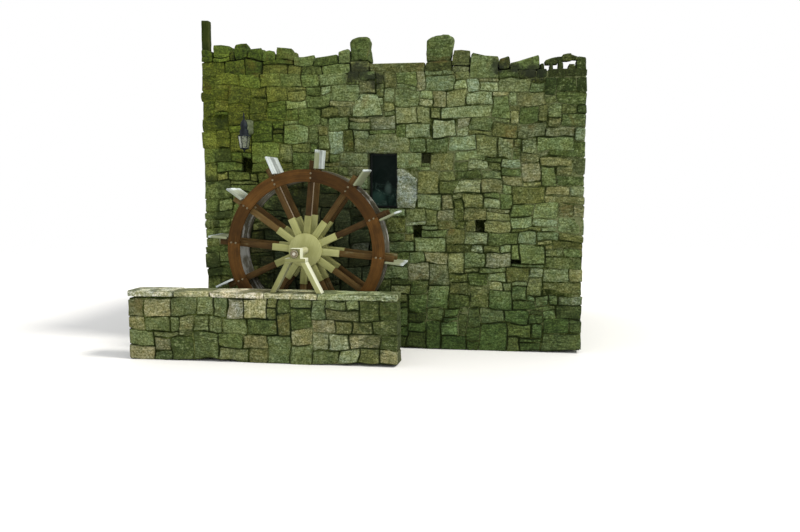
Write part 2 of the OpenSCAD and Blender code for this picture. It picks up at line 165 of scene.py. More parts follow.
# The floor is a wide pale sheet that fades into the white far from the mill.
class Finish(Nodes):
    """A material in the making. Its patterns read Object coordinates."""

    def __init__(self, name):
        self.material = bpy.data.materials.new(name)
        self.material.use_nodes = True
        super().__init__(self.material.node_tree)
        self.shader = self.tree.nodes["Principled BSDF"]
        self.place = self.node("ShaderNodeTexCoord", output="Object")

    def noise(self, scale, detail=3.0, roughness=0.55, place=None, distortion=0.0):
        return self.node("ShaderNodeTexNoise", {
            "Vector": place or self.place, "Scale": scale, "Detail": detail,
            "Roughness": roughness, "Distortion": distortion})

    def stretched(self, scale, place=None):
        """The place on the surface, stretched before a pattern reads it."""
        return self.node("ShaderNodeMapping", {"Vector": place or self.place, "Scale": scale})

    def away(self, place, spot=(0, 0, 0)):
        """How far a place is from a spot."""
        return self.node("ShaderNodeVectorMath", {0: place, 1: spot}, output="Value",
                         operation="DISTANCE")

    def ramp(self, value, *stops):
        return self.node("ShaderNodeValToRGB", {"Fac": value}, stops=stops)

    def between(self, value, low, high):
        """0 below low, 1 above high, and a smooth step from one to the other."""
        return self.node("ShaderNodeMapRange",
                         {"Value": value, "From Min": low, "From Max": high},
                         interpolation_type="SMOOTHSTEP")

    def mix(self, share, first, second, blend_type="MIX"):
        """A colour from first to second by the share."""
        first, second = (c if isinstance(c, Value) else (*c, 1) for c in (first, second))
        return self.node("ShaderNodeMix", {0: share, 6: first, 7: second}, output=2,
                         data_type="RGBA", blend_type=blend_type)

    def tinted(self, colour, tint, share=1.0):
        return self.mix(share, colour, tint, "MULTIPLY")

    def attribute(self, name, output="Fac"):
        return self.node("ShaderNodeAttribute", output=output, attribute_name=name)

    def along(self, axis):
        return self.node("ShaderNodeSeparateXYZ", {0: self.place}, output=axis)

    def dress(self, colour, roughness, height=None, depth=0.01, strength=1.0, gloss=0.5,
              metal=0.0, alpha=1.0):
        """Joins the colour, the roughness and a bump of the given depth to the shader."""
        goes_to = {"Base Color": colour, "Roughness": roughness, "Specular IOR Level": gloss,
                   "Metallic": metal, "Alpha": alpha}
        if height is not None:
            goes_to["Normal"] = self.node(
                "ShaderNodeBump", {"Height": height, "Distance": depth, "Strength": strength})
        for name, value in goes_to.items():
            self.feed(self.shader.inputs[name], value)
        return self.material


def added(primitive, **settings):
    """Adds a primitive at its size and place and puts both into its mesh."""
    bpy.ops.object.select_all(action="DESELECT")
    primitive(**settings)
    bpy.ops.object.transform_apply(location=True, rotation=True, scale=True)
    return bpy.context.object


floor_reach = 40.0
floor_grey = (0.80, 0.80, 0.80, 1)
fade = (7.0, 20.0)

pale = Finish("studio_floor")
faded = pale.node("ShaderNodeMixShader", {
    0: pale.between(pale.away(pale.place), *fade), 1: Value(pale, pale.shader.outputs[0]),
    2: pale.node("ShaderNodeBsdfTransparent")})
pale.feed(pale.tree.nodes["Material Output"].inputs["Surface"], faded)
floor = added(bpy.ops.mesh.primitive_plane_add, size=floor_reach * 2, location=(0, 0, -0.002))
floor.name = "floor"
floor.data.materials.append(pale.dress(floor_grey, 0.9))


# Rubble stones. Real ones are split granite, laid in lime mortar with the flattest side out and
# packed in rough courses. One stone is modelled for the faces of the walls and one for corners.
def alone(*chosen):
    """Selects these objects and no others, and makes the first one active."""
    bpy.ops.object.select_all(action="DESELECT")
    for made in chosen:
        made.select_set(True)
    bpy.context.view_layer.objects.active = chosen[0]


@contextmanager
def editing(made):
    """Edit mode on one mesh, with all of it selected to begin with."""
    alone(made)
    bpy.ops.object.mode_set(mode="EDIT")
    bpy.ops.mesh.select_all(action="SELECT")
    yield
    bpy.ops.object.mode_set(mode="OBJECT")


face_cuts = 5
block_cuts = 4
stone_edge = 0.015
face_stone_depth = 0.085

face_stone = added(bpy.ops.mesh.primitive_grid_add, x_subdivisions=face_cuts,
                   y_subdivisions=face_cuts, size=1, location=(0.5, 1, 0.5),
                   rotation=(math.pi / 2, 0, 0))
with editing(face_stone):
    bpy.ops.mesh.extrude_region_move(TRANSFORM_OT_translate={"value": (0, 1 / face_cuts - 1, 0)})
    bpy.ops.mesh.extrude_region_move(TRANSFORM_OT_translate={"value": (0, -1 / face_cuts, 0)})
    bpy.ops.mesh.select_all(action="DESELECT")
    bpy.ops.mesh.select_non_manifold()
    bpy.ops.mesh.edge_face_add()
    bpy.ops.mesh.select_all(action="SELECT")
    bpy.ops.mesh.normals_make_consistent(inside=False)
block_stone = added(bpy.ops.mesh.primitive_cube_add, size=1, location=(0.5, 0.5, 0.5))
with editing(block_stone):
    bpy.ops.mesh.subdivide(number_cuts=block_cuts - 1)

building = (Vector((left_x, front_y, 0)), Vector((right_x, back_y, head_z)))


class Face:
    """One side of a mass of masonry: where its lower left corner is and which way it runs, seen
    from outside."""

    def __init__(self, corner, along, length, up=(0, 0, 1), mass=building):
        self.corner = Vector(corner)
        self.along = Vector(along)
        self.up = Vector(up)
        self.out = self.along.cross(self.up)
        self.length = length
        self.mass = mass

    def point(self, s, t, depth):
        return self.corner + self.along * s + self.up * t - self.out * depth


@dataclass
class Stone:
    """A stone on a face: its left, right, lower and upper sides, its depth into the wall and what
    makes it unlike the others. The cuts take its top corners off, the rises lift them, and a proud
    stone stands out."""
    face: Face
    sides: tuple
    depth: float = face_stone_depth
    tone: float = None
    kind: float = None
    cuts: tuple = (0.0, 0.0)
    rises: tuple = (0.0, 0.0)
    arch: float = 0.0
    proud: float = 0.0
    joint: float = None
    still: bool = False


# The slow wander of the beds and joints, the same for neighbouring stones, so that joints stay
# even. It is smaller out of the wall's face, near the wall's corners and near the openings.
wander_size = 0.60
wander = 0.050
ripple_size = 0.21
ripple = 0.034
out_share = 0.12
corner_reach = 0.45
still_spots = []


def wandered(point, mass):
    """Where a point of a mass of masonry comes to lie."""
    steady = min((math.dist(point, spot) / reach for spot, reach in still_spots), default=1.0)
    slow = noise.noise_vector(point / wander_size) * wander
    quick = noise.noise_vector(point / ripple_size) * ripple
    moved = (slow + quick) * min(1.0, steady ** 2)
    for axis in (0, 1):
        inside = min(abs(point[axis] - mass[0][axis]), abs(point[axis] - mass[1][axis]))
        moved[axis] *= out_share + (1 - out_share) * min(1.0, inside / corner_reach)
    moved += point
    moved.z = max(moved.z, 0.0)
    return moved


def spaced(share, size, edge, cuts):
    """A template's share of a side as a length, with its outer lines near the ends."""
    first = 1 / cuts
    if share <= first:
        return share / first * edge
    if share >= 1 - first:
        return size - (1 - share) / first * edge
    return edge + (share - first) / (1 - 2 * first) * (size - 2 * edge)


usual_joint = (0.0, 0.0035)
corner_loss = (0.001, 0.010)
most_pull = 0.008
usual_arris = (0.001, 0.006)
ragged = 0.007
usual_lean = 0.006
usual_fall = (0.01, 0.08)
deepest_fall = 0.009


def shaped(stone, template, cuts, draw):
    """The corner points of one stone, worked out from the template's. Its corners are rounded and
    drawn in by chance, and its face leans and breaks along two lines."""
    left, right, low, high = stone.sides
    joint = draw.uniform(*usual_joint) if stone.joint is None else stone.joint
    length = right - left - 2 * joint
    height = high - low - 2 * joint
    edge_s, edge_d, edge_t = (min(stone_edge, size / 4) for size in (length, stone.depth, height))
    rough = 0.25 if stone.still else 1.0
    losses = [rough * draw.uniform(*corner_loss) for _ in range(4)]
    pulls = [[rough * draw.uniform(0, min(most_pull, size / 7)) for size in (length, height)]
             for _ in range(4)]
    arris = draw.uniform(*usual_arris)
    lean = [rough * draw.uniform(-usual_lean, usual_lean) for _ in range(3)]
    breaks = [(draw.uniform(0, 2 * math.pi), rough * draw.uniform(*usual_fall)) for _ in range(2)]
    places = []
    for u, w, v in template:
        s = spaced(u, length, edge_s, cuts)
        d = spaced(w, stone.depth, edge_d, cuts)
        t = spaced(v, height, edge_t, cuts)
        across = s / length
        upward = t / height
        on_side = u in (0.0, 1.0)
        on_bed = v in (0.0, 1.0)
        for k, (pull_s, pull_t) in enumerate(pulls):
            share = (across if k % 2 else 1 - across) * (upward if k > 1 else 1 - upward)
            s += share * (-pull_s if k % 2 else pull_s)
            t += share * (-pull_t if k > 1 else pull_t)
        if on_side and on_bed:
            loss = losses[int(u) + 2 * int(v)]
            s += math.copysign(min(loss, length / 8), 0.5 - u)
            t += math.copysign(min(loss, height / 8), 0.5 - v)
        if w in (0.0, 1.0) and (on_side or on_bed):
            worn = arris * draw.uniform(0.4, 1.6)
            d += math.copysign(worn, 0.5 - w)
            chipped = rough * draw.uniform(0, min(ragged, length / 8, height / 8))
            s += math.copysign(worn * 0.5 + chipped, 0.5 - u) if on_side else 0
            t += math.copysign(worn * 0.5 + chipped, 0.5 - v) if on_bed else 0
        t += stone.arch * (1 - (2 * u - 1) ** 2) * v
        t += v * (stone.rises[0] * (1 - across) + stone.rises[1] * across)
        s += (stone.cuts[0] * (1 - u) - stone.cuts[1] * u) * v * v
        if w < 0.5:
            back = lean[0] + 2 * lean[1] * (u - 0.5) + 2 * lean[2] * (v - 0.5)
            for turn, fall in breaks:
                back += fall * max(0.0, (across - 0.5) * length * math.cos(turn)
                                   + (upward - 0.5) * height * math.sin(turn))
            d += min(deepest_fall, back) - stone.proud
        point = stone.face.point(left + joint + s, low + joint + t, d)
        places.append(point if stone.still else wandered(point, stone.face.mass))
    return places


grain_size = 0.085
grain = 0.009
fine_grain_size = 0.036
fine_grain = 0.006
usual_tones = (0.10, 0.88, 0.47)
# A stone that stands out this much gets a painted shadow round its edge, which its points' share
# of the middle says: 1 inside the face, 0 round a usual stone and less than 0 round a proud one
shadow_outline_from = 0.010
shadow_outline_share = -5.0


def written(made, label, values, domain="POINT"):
    """Writes a number on every point or face of a mesh, for its finish to read."""
    made.data.attributes.new(label, "FLOAT", domain).data.foreach_set("value", values)


def lay(template_object, cuts, stones, seed):
    """Makes one mesh of many stones, each a copy of the template with a shape of its own."""
    draw = random.Random(seed)
    template = [tuple(round(x, 4) for x in v.co) for v in template_object.data.vertices]
    faces = [tuple(p.vertices) for p in template_object.data.polygons]
    inner = [float(0 < u < 1 and 0 < v < 1 and w == 0) for u, w, v in template]
    points, polygons, tones, kinds, middles = [], [], [], [], []
    for stone in stones:
        first = len(points)
        for point in shaped(stone, template, cuts, draw):
            points.append(point + noise.noise_vector(point / grain_size) * grain
                          + noise.noise_vector(point / fine_grain_size) * fine_grain)
        polygons += [tuple(first + i for i in face) for face in faces]
        tone = draw.triangular(*usual_tones)
        kind = draw.random()
        tones += [tone if stone.tone is None else stone.tone] * len(template)
        kinds += [kind if stone.kind is None else stone.kind] * len(template)
        edge_share = shadow_outline_share if stone.proud > shadow_outline_from else 0.0
        middles += [share or edge_share for share in inner]
    mesh = bpy.data.meshes.new("stones")
    mesh.from_pydata(points, [], polygons)
    made = bpy.data.objects.new("stones", mesh)
    for label, values in (("tone", tones), ("kind", kinds), ("inner", middles)):
        written(made, label, values)
    bpy.context.scene.collection.objects.link(made)
    return made


# Courses. Every wall is divided by the same bed lines, closer or wider so that some of them meet
# the heights of the window, the doorway and the wall head. Three lines make one usual course.
column_w = 0.030
window_low, window_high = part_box("window_frame")
door_lintel_low, door_lintel_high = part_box("door_lintel")
floor_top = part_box("ground_floor")[1].z
fixed_levels = [0, floor_top, window_low.z, window_high.z, door_lintel_low.z,
                door_lintel_high.z, head_z]
usual_course = 0.19
bed_lines = [0.0]
for low, high in zip(fixed_levels, fixed_levels[1:]):
    parts = 3 * max(1, round((high - low) / usual_course))
    bed_lines += [low + (high - low) * (i + 1) / parts for i in range(parts)]
head_line = len(bed_lines) - 1
while bed_lines[-1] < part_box("front_coping")[1].z + 0.2:
    bed_lines.append(bed_lines[-1] + bed_lines[head_line] - bed_lines[head_line - 1])

# How many lines high a stone is, by the line that it starts on, with how often that comes
heights_from = [
    {3: 50, 2: 16, 4: 14, 5: 8, 6: 4, 1: 4},
    {2: 46, 3: 16, 5: 12, 4: 12, 1: 5},
    {4: 34, 1: 24, 3: 16, 2: 14},
]
# How many columns wide a stone of each height is, at least and at most
widths_of = {1: (7, 16), 2: (6, 15), 3: (6, 15), 4: (6, 15), 5: (7, 13), 6: (8, 12)}
least_wide = 4


def nearest_line(height):
    return min(range(len(bed_lines)), key=lambda i: abs(bed_lines[i] - height))


def snapped(face, left_s, right_s, low, high):
    """The sides of a stone, moved to the nearest columns and bed lines."""
    width = face.length / round(face.length / column_w)
    return (round(left_s / width) * width, round(right_s / width) * width,
            bed_lines[nearest_line(low)], bed_lines[nearest_line(high)])


def fill(face, taken, seed, low_line=0, high_line=head_line, **same):
    """Fills a face with stones from the bottom up, round the rectangles that are taken. Upright
    joints don't run on from one stone to the next, and thin stones don't lie on thin ones."""
    draw = random.Random(seed)
    columns = round(face.length / column_w)
    width = face.length / columns
    full, joints, over_thin = set(), set(), set()
    for left, right, low, high in taken:
        for c in range(round(left / width), round(right / width)):
            full.update((c, r) for r in range(nearest_line(low), nearest_line(high)))

    def clear_of(c, r, wide, high):
        return r + high <= high_line and not any(
            (x, y) in full for x in range(c, c + wide) for y in range(r, r + high))

    def free_beside(c, r, step):
        """How many columns are free from column c on, going right or left."""
        count = 0
        while 0 <= c + step * count < columns and (c + step * count, r) not in full:
            count += 1
        return count

    def leaves_sliver(c, r, wide, high):
        return any(0 < free_beside(start, y, step) < least_wide for y in range(r + 1, r + high)
                   for start, step in ((c + wide, 1), (c - 1, -1)))

    stones = []
    for r in range(low_line, high_line):
        for c in range(columns):
            if (c, r) in full:
                continue
            run = free_beside(c, r, 1)
            choice = heights_from[r % 3]
            high = draw.choices(list(choice), list(choice.values()))[0]
            if high == 1 and (c, r) in over_thin:
                high = 2
            wide = draw.randint(*widths_of[high])
            while (c + wide, r) in joints and wide < run:
                wide += 1
            if run - wide < least_wide:
                wide = run if run <= widths_of[high][1] + 2 else run // 2
            while not clear_of(c, r, wide, high) or (high > 1 and leaves_sliver(c, r, wide, high)):
                high -= 1
            if (high < 5 and not clear_of(c, r, wide, high + 2) and clear_of(c, r, wide, high + 1)
                    and not leaves_sliver(c, r, wide, high + 1)):
                high += 1
            full.update((x, y) for x in range(c, c + wide) for y in range(r, r + high))
            joints.update((c + wide, y) for y in range(r, r + high + 1))
            if high == 1:
                over_thin.update((x, r + 1) for x in range(c, c + wide))
            stones.append(Stone(face, (c * width, (c + wide) * width, bed_lines[r],
                                       bed_lines[r + high]), **same))
    return stones


def closed_up(stones, around):
    """Widens stones up to the next ones where too little is left between for another stone."""
    for stone in stones:
        left_s, right_s, low, high = stone.sides
        beside = [other.sides for other in stones if other is not stone] + around
        beside = [sides for sides in beside if sides[2] < high - 0.01 and sides[3] > low + 0.01]
        next_right = min((s[0] for s in beside if s[0] > right_s - 0.01), default=right_s)
        next_left = max((s[1] for s in beside if s[1] < left_s + 0.01), default=left_s)
        if next_right - right_s < (least_wide - 0.5) * column_w:
            right_s = next_right
        if left_s - next_left < (least_wide - 0.5) * column_w:
            left_s = next_left
        stone.sides = (left_s, right_s, low, high)


# What one stone is coloured like. The tones run from the darkest stone of a wall to the palest,
# and the kinds from grey-green through olive, plain, ochre and brown to violet-grey granite.
# Moss darkens the joints, lichen speckles the faces and iron stains a few. The foot is darker,
# partly damp and partly painted shade.
# Algae colour the left end of the building yellow-green, where it stands under trees, and painted
# shade of the trees darkens it there.
stone_colours = ((0.0, (0.027, 0.038, 0.008)), (0.25, (0.085, 0.104, 0.037)),
                 (0.5, (0.149, 0.169, 0.085)), (0.75, (0.238, 0.259, 0.168)),
                 (1.0, (0.372, 0.394, 0.322)))
stone_kinds = ((0.0, (0.92, 1.00, 1.06)), (0.25, (0.97, 1.03, 0.82)), (0.45, (1.0, 1.0, 1.0)),
               (0.65, (1.10, 0.98, 0.78)), (0.85, (1.13, 0.94, 0.88)), (1.0, (1.06, 0.96, 1.15)))
speckle_tints = ((0.0, (0.34, 0.36, 0.18)), (0.5, (0.93, 0.93, 0.93)), (1.0, (1.86, 1.82, 2.15)))
film_tints = ((0.36, (1.07, 1.01, 0.90)), (0.64, (0.95, 0.99, 1.07)))
moss_colour = (0.037, 0.055, 0.008)
stain_colour = (0.160, 0.090, 0.030)
lichen_colour = (0.410, 0.440, 0.270)
# Dark of cracks, also used as painted shade at the stones' edges
crack_and_shade_colour = (0.015, 0.023, 0.003)
algae_and_shade_tint = (0.77, 0.82, 0.25)
damp_and_shade_tint = (0.42, 0.54, 0.34)

# Black patches darken the wall under the left upright stone and along the parapet's right part,
# partly as painted shade: how far right of the building's middle each patch is, how high, and how
# far it reaches
black_shade_patches = [(-0.44, 4.01, 0.15), (-0.17, 3.89, 0.12), (1.55, 4.00, 0.09), (1.80, 3.98, 0.09),
                (2.05, 3.96, 0.12)]
black_shade_colour = (0.014, 0.018, 0.009)

# The wheel throws water on the wall behind it, which is black-green there. The dark patch also
# stands for the wheel's shadow on the wall: partly painted shadow.
wheel_middle = Vector(frame["joints"][0]["pos_m"])
splash_and_shadow_reach = 1.02
splash_and_shadow_colour = (0.010, 0.017, 0.008)


def darkened(finish, colour, dark, share, x, z, outer, inner, uneven):
    """Turns the front wall dark inside a ragged round patch."""
    away = finish.away(finish.stretched((1, 0, 1)), (x, 0, z))
    on_front = finish.between(finish.along("Y"), front_y + 0.4, front_y + 0.2)
    return finish.mix(finish.between(away + uneven, outer, inner) * on_front * share, colour, dark)


# Darkens the wall behind the wheel: wet, and the wheel's painted shadow
def splashed_and_shaded(finish, colour, uneven):
    return darkened(finish, colour, splash_and_shadow_colour, 0.72, wheel_middle.x, wheel_middle.z,
                    splash_and_shadow_reach + 0.12, splash_and_shadow_reach - 0.25, (uneven - 0.5) * 0.9)


def greened_and_shaded(finish, colour, algae_and_shade):
    """Turns the wall greener and darker leftward, most near its head: algae, and painted tree
    shade.
    """
    uneven = finish.noise(1.1, detail=3) - 0.5
    green = (finish.between(finish.along("X") * -1.0 + uneven * 1.2, 0.0, 1.8)
             * (0.45 + finish.between(finish.along("Z") + uneven * 1.4, 1.8, 3.2) * 0.55))
    return finish.tinted(colour, algae_and_shade_tint, green * algae_and_shade)


def pointing(finish):
    """How much mortar is left in the joints. The least is left low down, where it is wet."""
    return finish.noise(3.2, detail=4) + (finish.along("Z") - 2.5) * 0.03


def stone_finish(name, tint=(1.0, 1.0, 1.0), moss=0.5, damp_and_shade=0.0, algae_and_shade=0.0, by_wheel=False):
    stone = Finish(name)
    inner = stone.attribute("inner")
    patch = stone.noise(1.1, detail=3)
    blotch = stone.noise(7.5, detail=6, roughness=0.65)
    mottle = stone.noise(26, detail=5, roughness=0.7)
    grit = stone.noise(48, detail=4, roughness=0.75)
    layered = stone.noise(9, detail=4, place=stone.stretched((0.7, 0.7, 3.4)))
    streaks = stone.noise(1, detail=4, place=stone.stretched((7, 7, 46)))
    shade = (stone.attribute("tone") + (blotch - 0.5) * 0.7 + (mottle - 0.5) * 0.7
             + (patch - 0.5) * 0.35)
    speckle = 0.5 + (mottle - 0.5) * 1.1 + (grit - 0.5) * 3.0 + (streaks - 0.5) * 1.0
    film = stone.noise(9, detail=4, roughness=0.6, distortion=0.5)
    colour = stone.ramp(shade, *stone_colours)
    for value, tints in ((speckle, speckle_tints), (film, film_tints),
                         (stone.attribute("kind"), stone_kinds)):
        colour = stone.tinted(colour, stone.ramp(value, *tints))
    specks = mottle * 0.5 + stone.noise(31, detail=3, roughness=0.6) * 0.5
    lichen = (stone.between(specks, 0.53, 0.60)
              * stone.between(patch + (blotch - 0.5), 0.42, 0.66))
    deep_joint_shade = stone.between(pointing(stone), 0.52, 0.40)
    seam = stone.noise(1, detail=3, place=stone.stretched((5, 5, 21)))
    open_seam = (stone.between((seam - 0.5) * (seam - 0.5), 0.0030, 0.0004)
                 * stone.between(mottle + (patch - 0.5), 0.44, 0.60))
    for share, other in (
            (stone.between(stone.noise(2.3, detail=4, distortion=0.6), 0.58, 0.74) * 0.45,
             stain_colour),
            (lichen * 0.55, lichen_colour),
            (stone.between(patch + (blotch - 0.5) * 0.9 + (1 - inner) * 0.05, 0.50, 0.78) * moss,
             moss_colour),
            # Painted shade on the stones' edges where the joints are deep
            ((1 - inner) * deep_joint_shade * 0.7, crack_and_shade_colour),
            # Painted shadow round the stones that stand proud
            (stone.between(inner, -0.4, -2.2) * 0.85, crack_and_shade_colour),
            (open_seam * 0.62, crack_and_shade_colour)):
        colour = stone.mix(share, colour, other)
    # Darker towards the foot: damp, and painted shade
    foot_damp_and_shade = stone.between(stone.along("Z") + (blotch - 0.5) * 1.2, 1.25, 0.45)
    colour = stone.tinted(colour, damp_and_shade_tint, foot_damp_and_shade * damp_and_shade)
    colour = greened_and_shaded(stone, stone.tinted(colour, tint), algae_and_shade)
    if by_wheel:
        # Black patches near the wall head, partly painted shade
        for x, z, reach in black_shade_patches:
            colour = darkened(stone, colour, black_shade_colour, 0.8, middle_x + x, z, reach + 0.05,
                              reach - 0.05, (blotch - 0.5) * 0.35)
        # Dark behind the wheel, partly painted shadow of the wheel
        colour = splashed_and_shaded(stone, colour, blotch)
    height = blotch * 0.7 + layered * 0.6 + mottle * 0.55 + grit * 0.28 + streaks * 0.35
    return stone.dress(colour, 0.93, height, depth=0.026, strength=0.85, gloss=0.25)


rubble = stone_finish("rubble_stone", (0.89, 1.0, 0.77), damp_and_shade=1.0, algae_and_shade=1.0, by_wheel=True)

# Lime mortar between the stones, washed back from their faces, deeper in some places than in
# others, and dark with moss
lime = Finish("lime_mortar")
crumbs = lime.noise(34, detail=5, roughness=0.7)
washed = pointing(lime)
lime_colour = lime.ramp(washed + (crumbs - 0.5) * 0.6, (0.38, (0.014, 0.021, 0.003)),
                        (0.48, (0.050, 0.066, 0.014)), (0.60, (0.176, 0.198, 0.090)))
# Mortar: darker behind the wheel (partly its painted shadow) and leftward (partly painted tree
# shade)
mortar = lime.dress(splashed_and_shaded(lime, greened_and_shaded(lime, lime_colour, 1.0), washed), 0.95, crumbs,
                    depth=0.02, gloss=0.1)
mortar_back = 0.020
mortar_swell = 0.010
swell_size = 0.24
core_square = 0.11


def block(low, high):
    """A plain block between two corners."""
    return added(bpy.ops.mesh.primitive_cube_add, size=1, location=(low + high) / 2,
                 scale=high - low)


def wall_core(low, high, holes=(), mass=building):
    """The mortar behind the stones: a block that wanders as they do, with holes cut in it."""
    made = block(low, high)
    size = high - low
    for axis in range(3):
        squares = int(size[axis] / core_square)
        normal = [float(axis == other) for other in range(3)]
        for i in range(1, squares):
            spot = low.copy()
            spot[axis] += size[axis] * i / squares
            with editing(made):
                bpy.ops.mesh.bisect(plane_co=spot, plane_no=normal)
    for vertex in made.data.vertices:
        swell = noise.noise_vector(vertex.co / swell_size) * mortar_swell
        vertex.co = wandered(vertex.co, mass) + swell
        vertex.co.z = max(vertex.co.z, 0.0)
    for corners in holes:
        hole = block(*corners)
        bpy.context.view_layer.objects.active = made
        cut = made.modifiers.new("hole", "BOOLEAN")
        cut.operation = "DIFFERENCE"
        cut.solver = "EXACT"
        cut.object = hole
        bpy.ops.object.modifier_apply(modifier=cut.name)
        bpy.data.objects.remove(hole)
    made.data.materials.append(mortar)
    return made


def merged(parts):
    """One mesh from several."""
    alone(*parts)
    if len(parts) > 1:
        bpy.ops.object.join()
    return parts[0]


def piece(made, name, node, body, slot):
    """Names a finished piece. It rides on the body and may stand for a CAD node."""
    made.name = name
    made.data.name = name
    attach(made, body)
    if node:
        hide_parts(node)
    return made


def painted(made, finish, degrees=40):
    """Gives a mesh its finish and rounds the shading of all but its sharp edges."""
    made.data.materials.append(finish)
    alone(made)
    bpy.ops.object.shade_smooth_by_angle(angle=math.radians(degrees))
    return made


def masonry(name, core, stones, seed, finish, node, slot):
    """One piece of masonry: its mortar core, the stones on its faces, and as whole blocks those
    that reach deep into it."""
    parts = [core] if core else []
    for template, cuts, deep, number in ((face_stone, face_cuts, False, seed),
                                         (block_stone, block_cuts, True, seed + 10)):
        chosen = [stone for stone in stones if (stone.depth > face_stone_depth) == deep]
        if chosen:
            parts.append(painted(lay(template, cuts, chosen, number), finish, 28))
    return piece(merged(parts), name, node, "root", slot)


# The front wall: coursed rubble, wider stones at its two corners, stones through the wall beside
# the window, and a few square holes where the scaffold poles once went in.
front = Face((left_x, front_y, 0), (1, 0, 0), right_x - left_x)
back = Face((right_x, back_y, 0), (-1, 0, 0), right_x - left_x)
left = Face((left_x, back_y, 0), (0, -1, 0), back_y - front_y)
right = Face((right_x, front_y, 0), (0, 1, 0), back_y - front_y)
quoin_reaches = (0.42, 0.21)
quoin_jut = (-0.012, 0.008)


def quoins(face, next_face, seed):
    """The corner stones where one face ends and the next one starts, seen from outside. Every
    other one lies along the first face and the ones between along the next."""
    draw = random.Random(seed)
    stones, taken, taken_next = [], [], []
    line = 0
    while line < head_line:
        high = draw.choice((2, 3, 3, 4))
        top = line + high if head_line - line - high >= 2 else head_line
        turn = len(stones) % 2
        along_s = quoin_reaches[turn] + draw.choice((-0.06, -0.03, 0, 0.06, 0.12))
        start, end, low, high = snapped(face, face.length - along_s, face.length,
                                        bed_lines[line], bed_lines[top])
        depth = snapped(next_face, 0, quoin_reaches[1 - turn], 0, 1)[1]
        stones.append(Stone(face, (start, end + draw.uniform(*quoin_jut), low, high), depth,
                            tone=draw.uniform(0.15, 0.7), proud=draw.uniform(*quoin_jut)))
        taken.append((start, end, low, high))
        taken_next.append((0, depth, low, high))
        line = top
    return stones, taken, taken_next


corner_fr, ends_front, starts_right = quoins(front, right, 11)
corner_rb, ends_right, starts_back = quoins(right, back, 12)
corner_bl, ends_back, starts_left = quoins(back, left, 13)
corner_lf, ends_left, starts_front = quoins(left, front, 14)
# Corner stones above this height are darker, partly as painted shade of the trees
darker_from = 3.3
draw = random.Random(15)
for stone in corner_lf:
    stone.tone, stone.kind = draw.uniform(0.40, 0.64), draw.uniform(0.30, 0.60)
    if stone.sides[3] > darker_from:
        stone.tone, stone.kind = 0.28, 0.66

window_s = (window_low.x - left_x, window_high.x - left_x)
window_t = (window_low.z, window_high.z)
lintel_low, lintel_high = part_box("window_lintel")
jamb_low, jamb_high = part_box("window_jamb_stone")
doorway_low, doorway_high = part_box("back_wall_under_door")
still_spots += [(Vector(((window_low.x + window_high.x) / 2, front_y, 2.45)), 0.95),
                (Vector((middle_x + 2.40, front_y, 4.08)), 0.55),
                (Vector(((doorway_low.x + doorway_high.x) / 2, back_y, 2.1)), 1.35)]
for name, reach in (("left_upright_stone", 0.45), ("right_upright_stone", 0.45),
                    ("corner_post", 0.40)):
    low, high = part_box(name)
    still_spots.append((Vector(((low.x + high.x) / 2, (low.y + high.y) / 2, low.z)), reach))
middle_s = front.length / 2

# Scaffold holes: how far right of the wall's middle they begin and end, and their heights
pole_holes = [(-2.17, -2.03, 2.58, 2.77), (0.48, 0.63, 2.72, 2.85), (0.375, 0.505, 1.65, 1.84),
              (1.235, 1.38, 1.72, 1.90), (1.80, 1.92, 1.26, 1.335)]
pole_hole_depth = 0.24
round_hole = Vector((0.02, 0.1, 0.01))

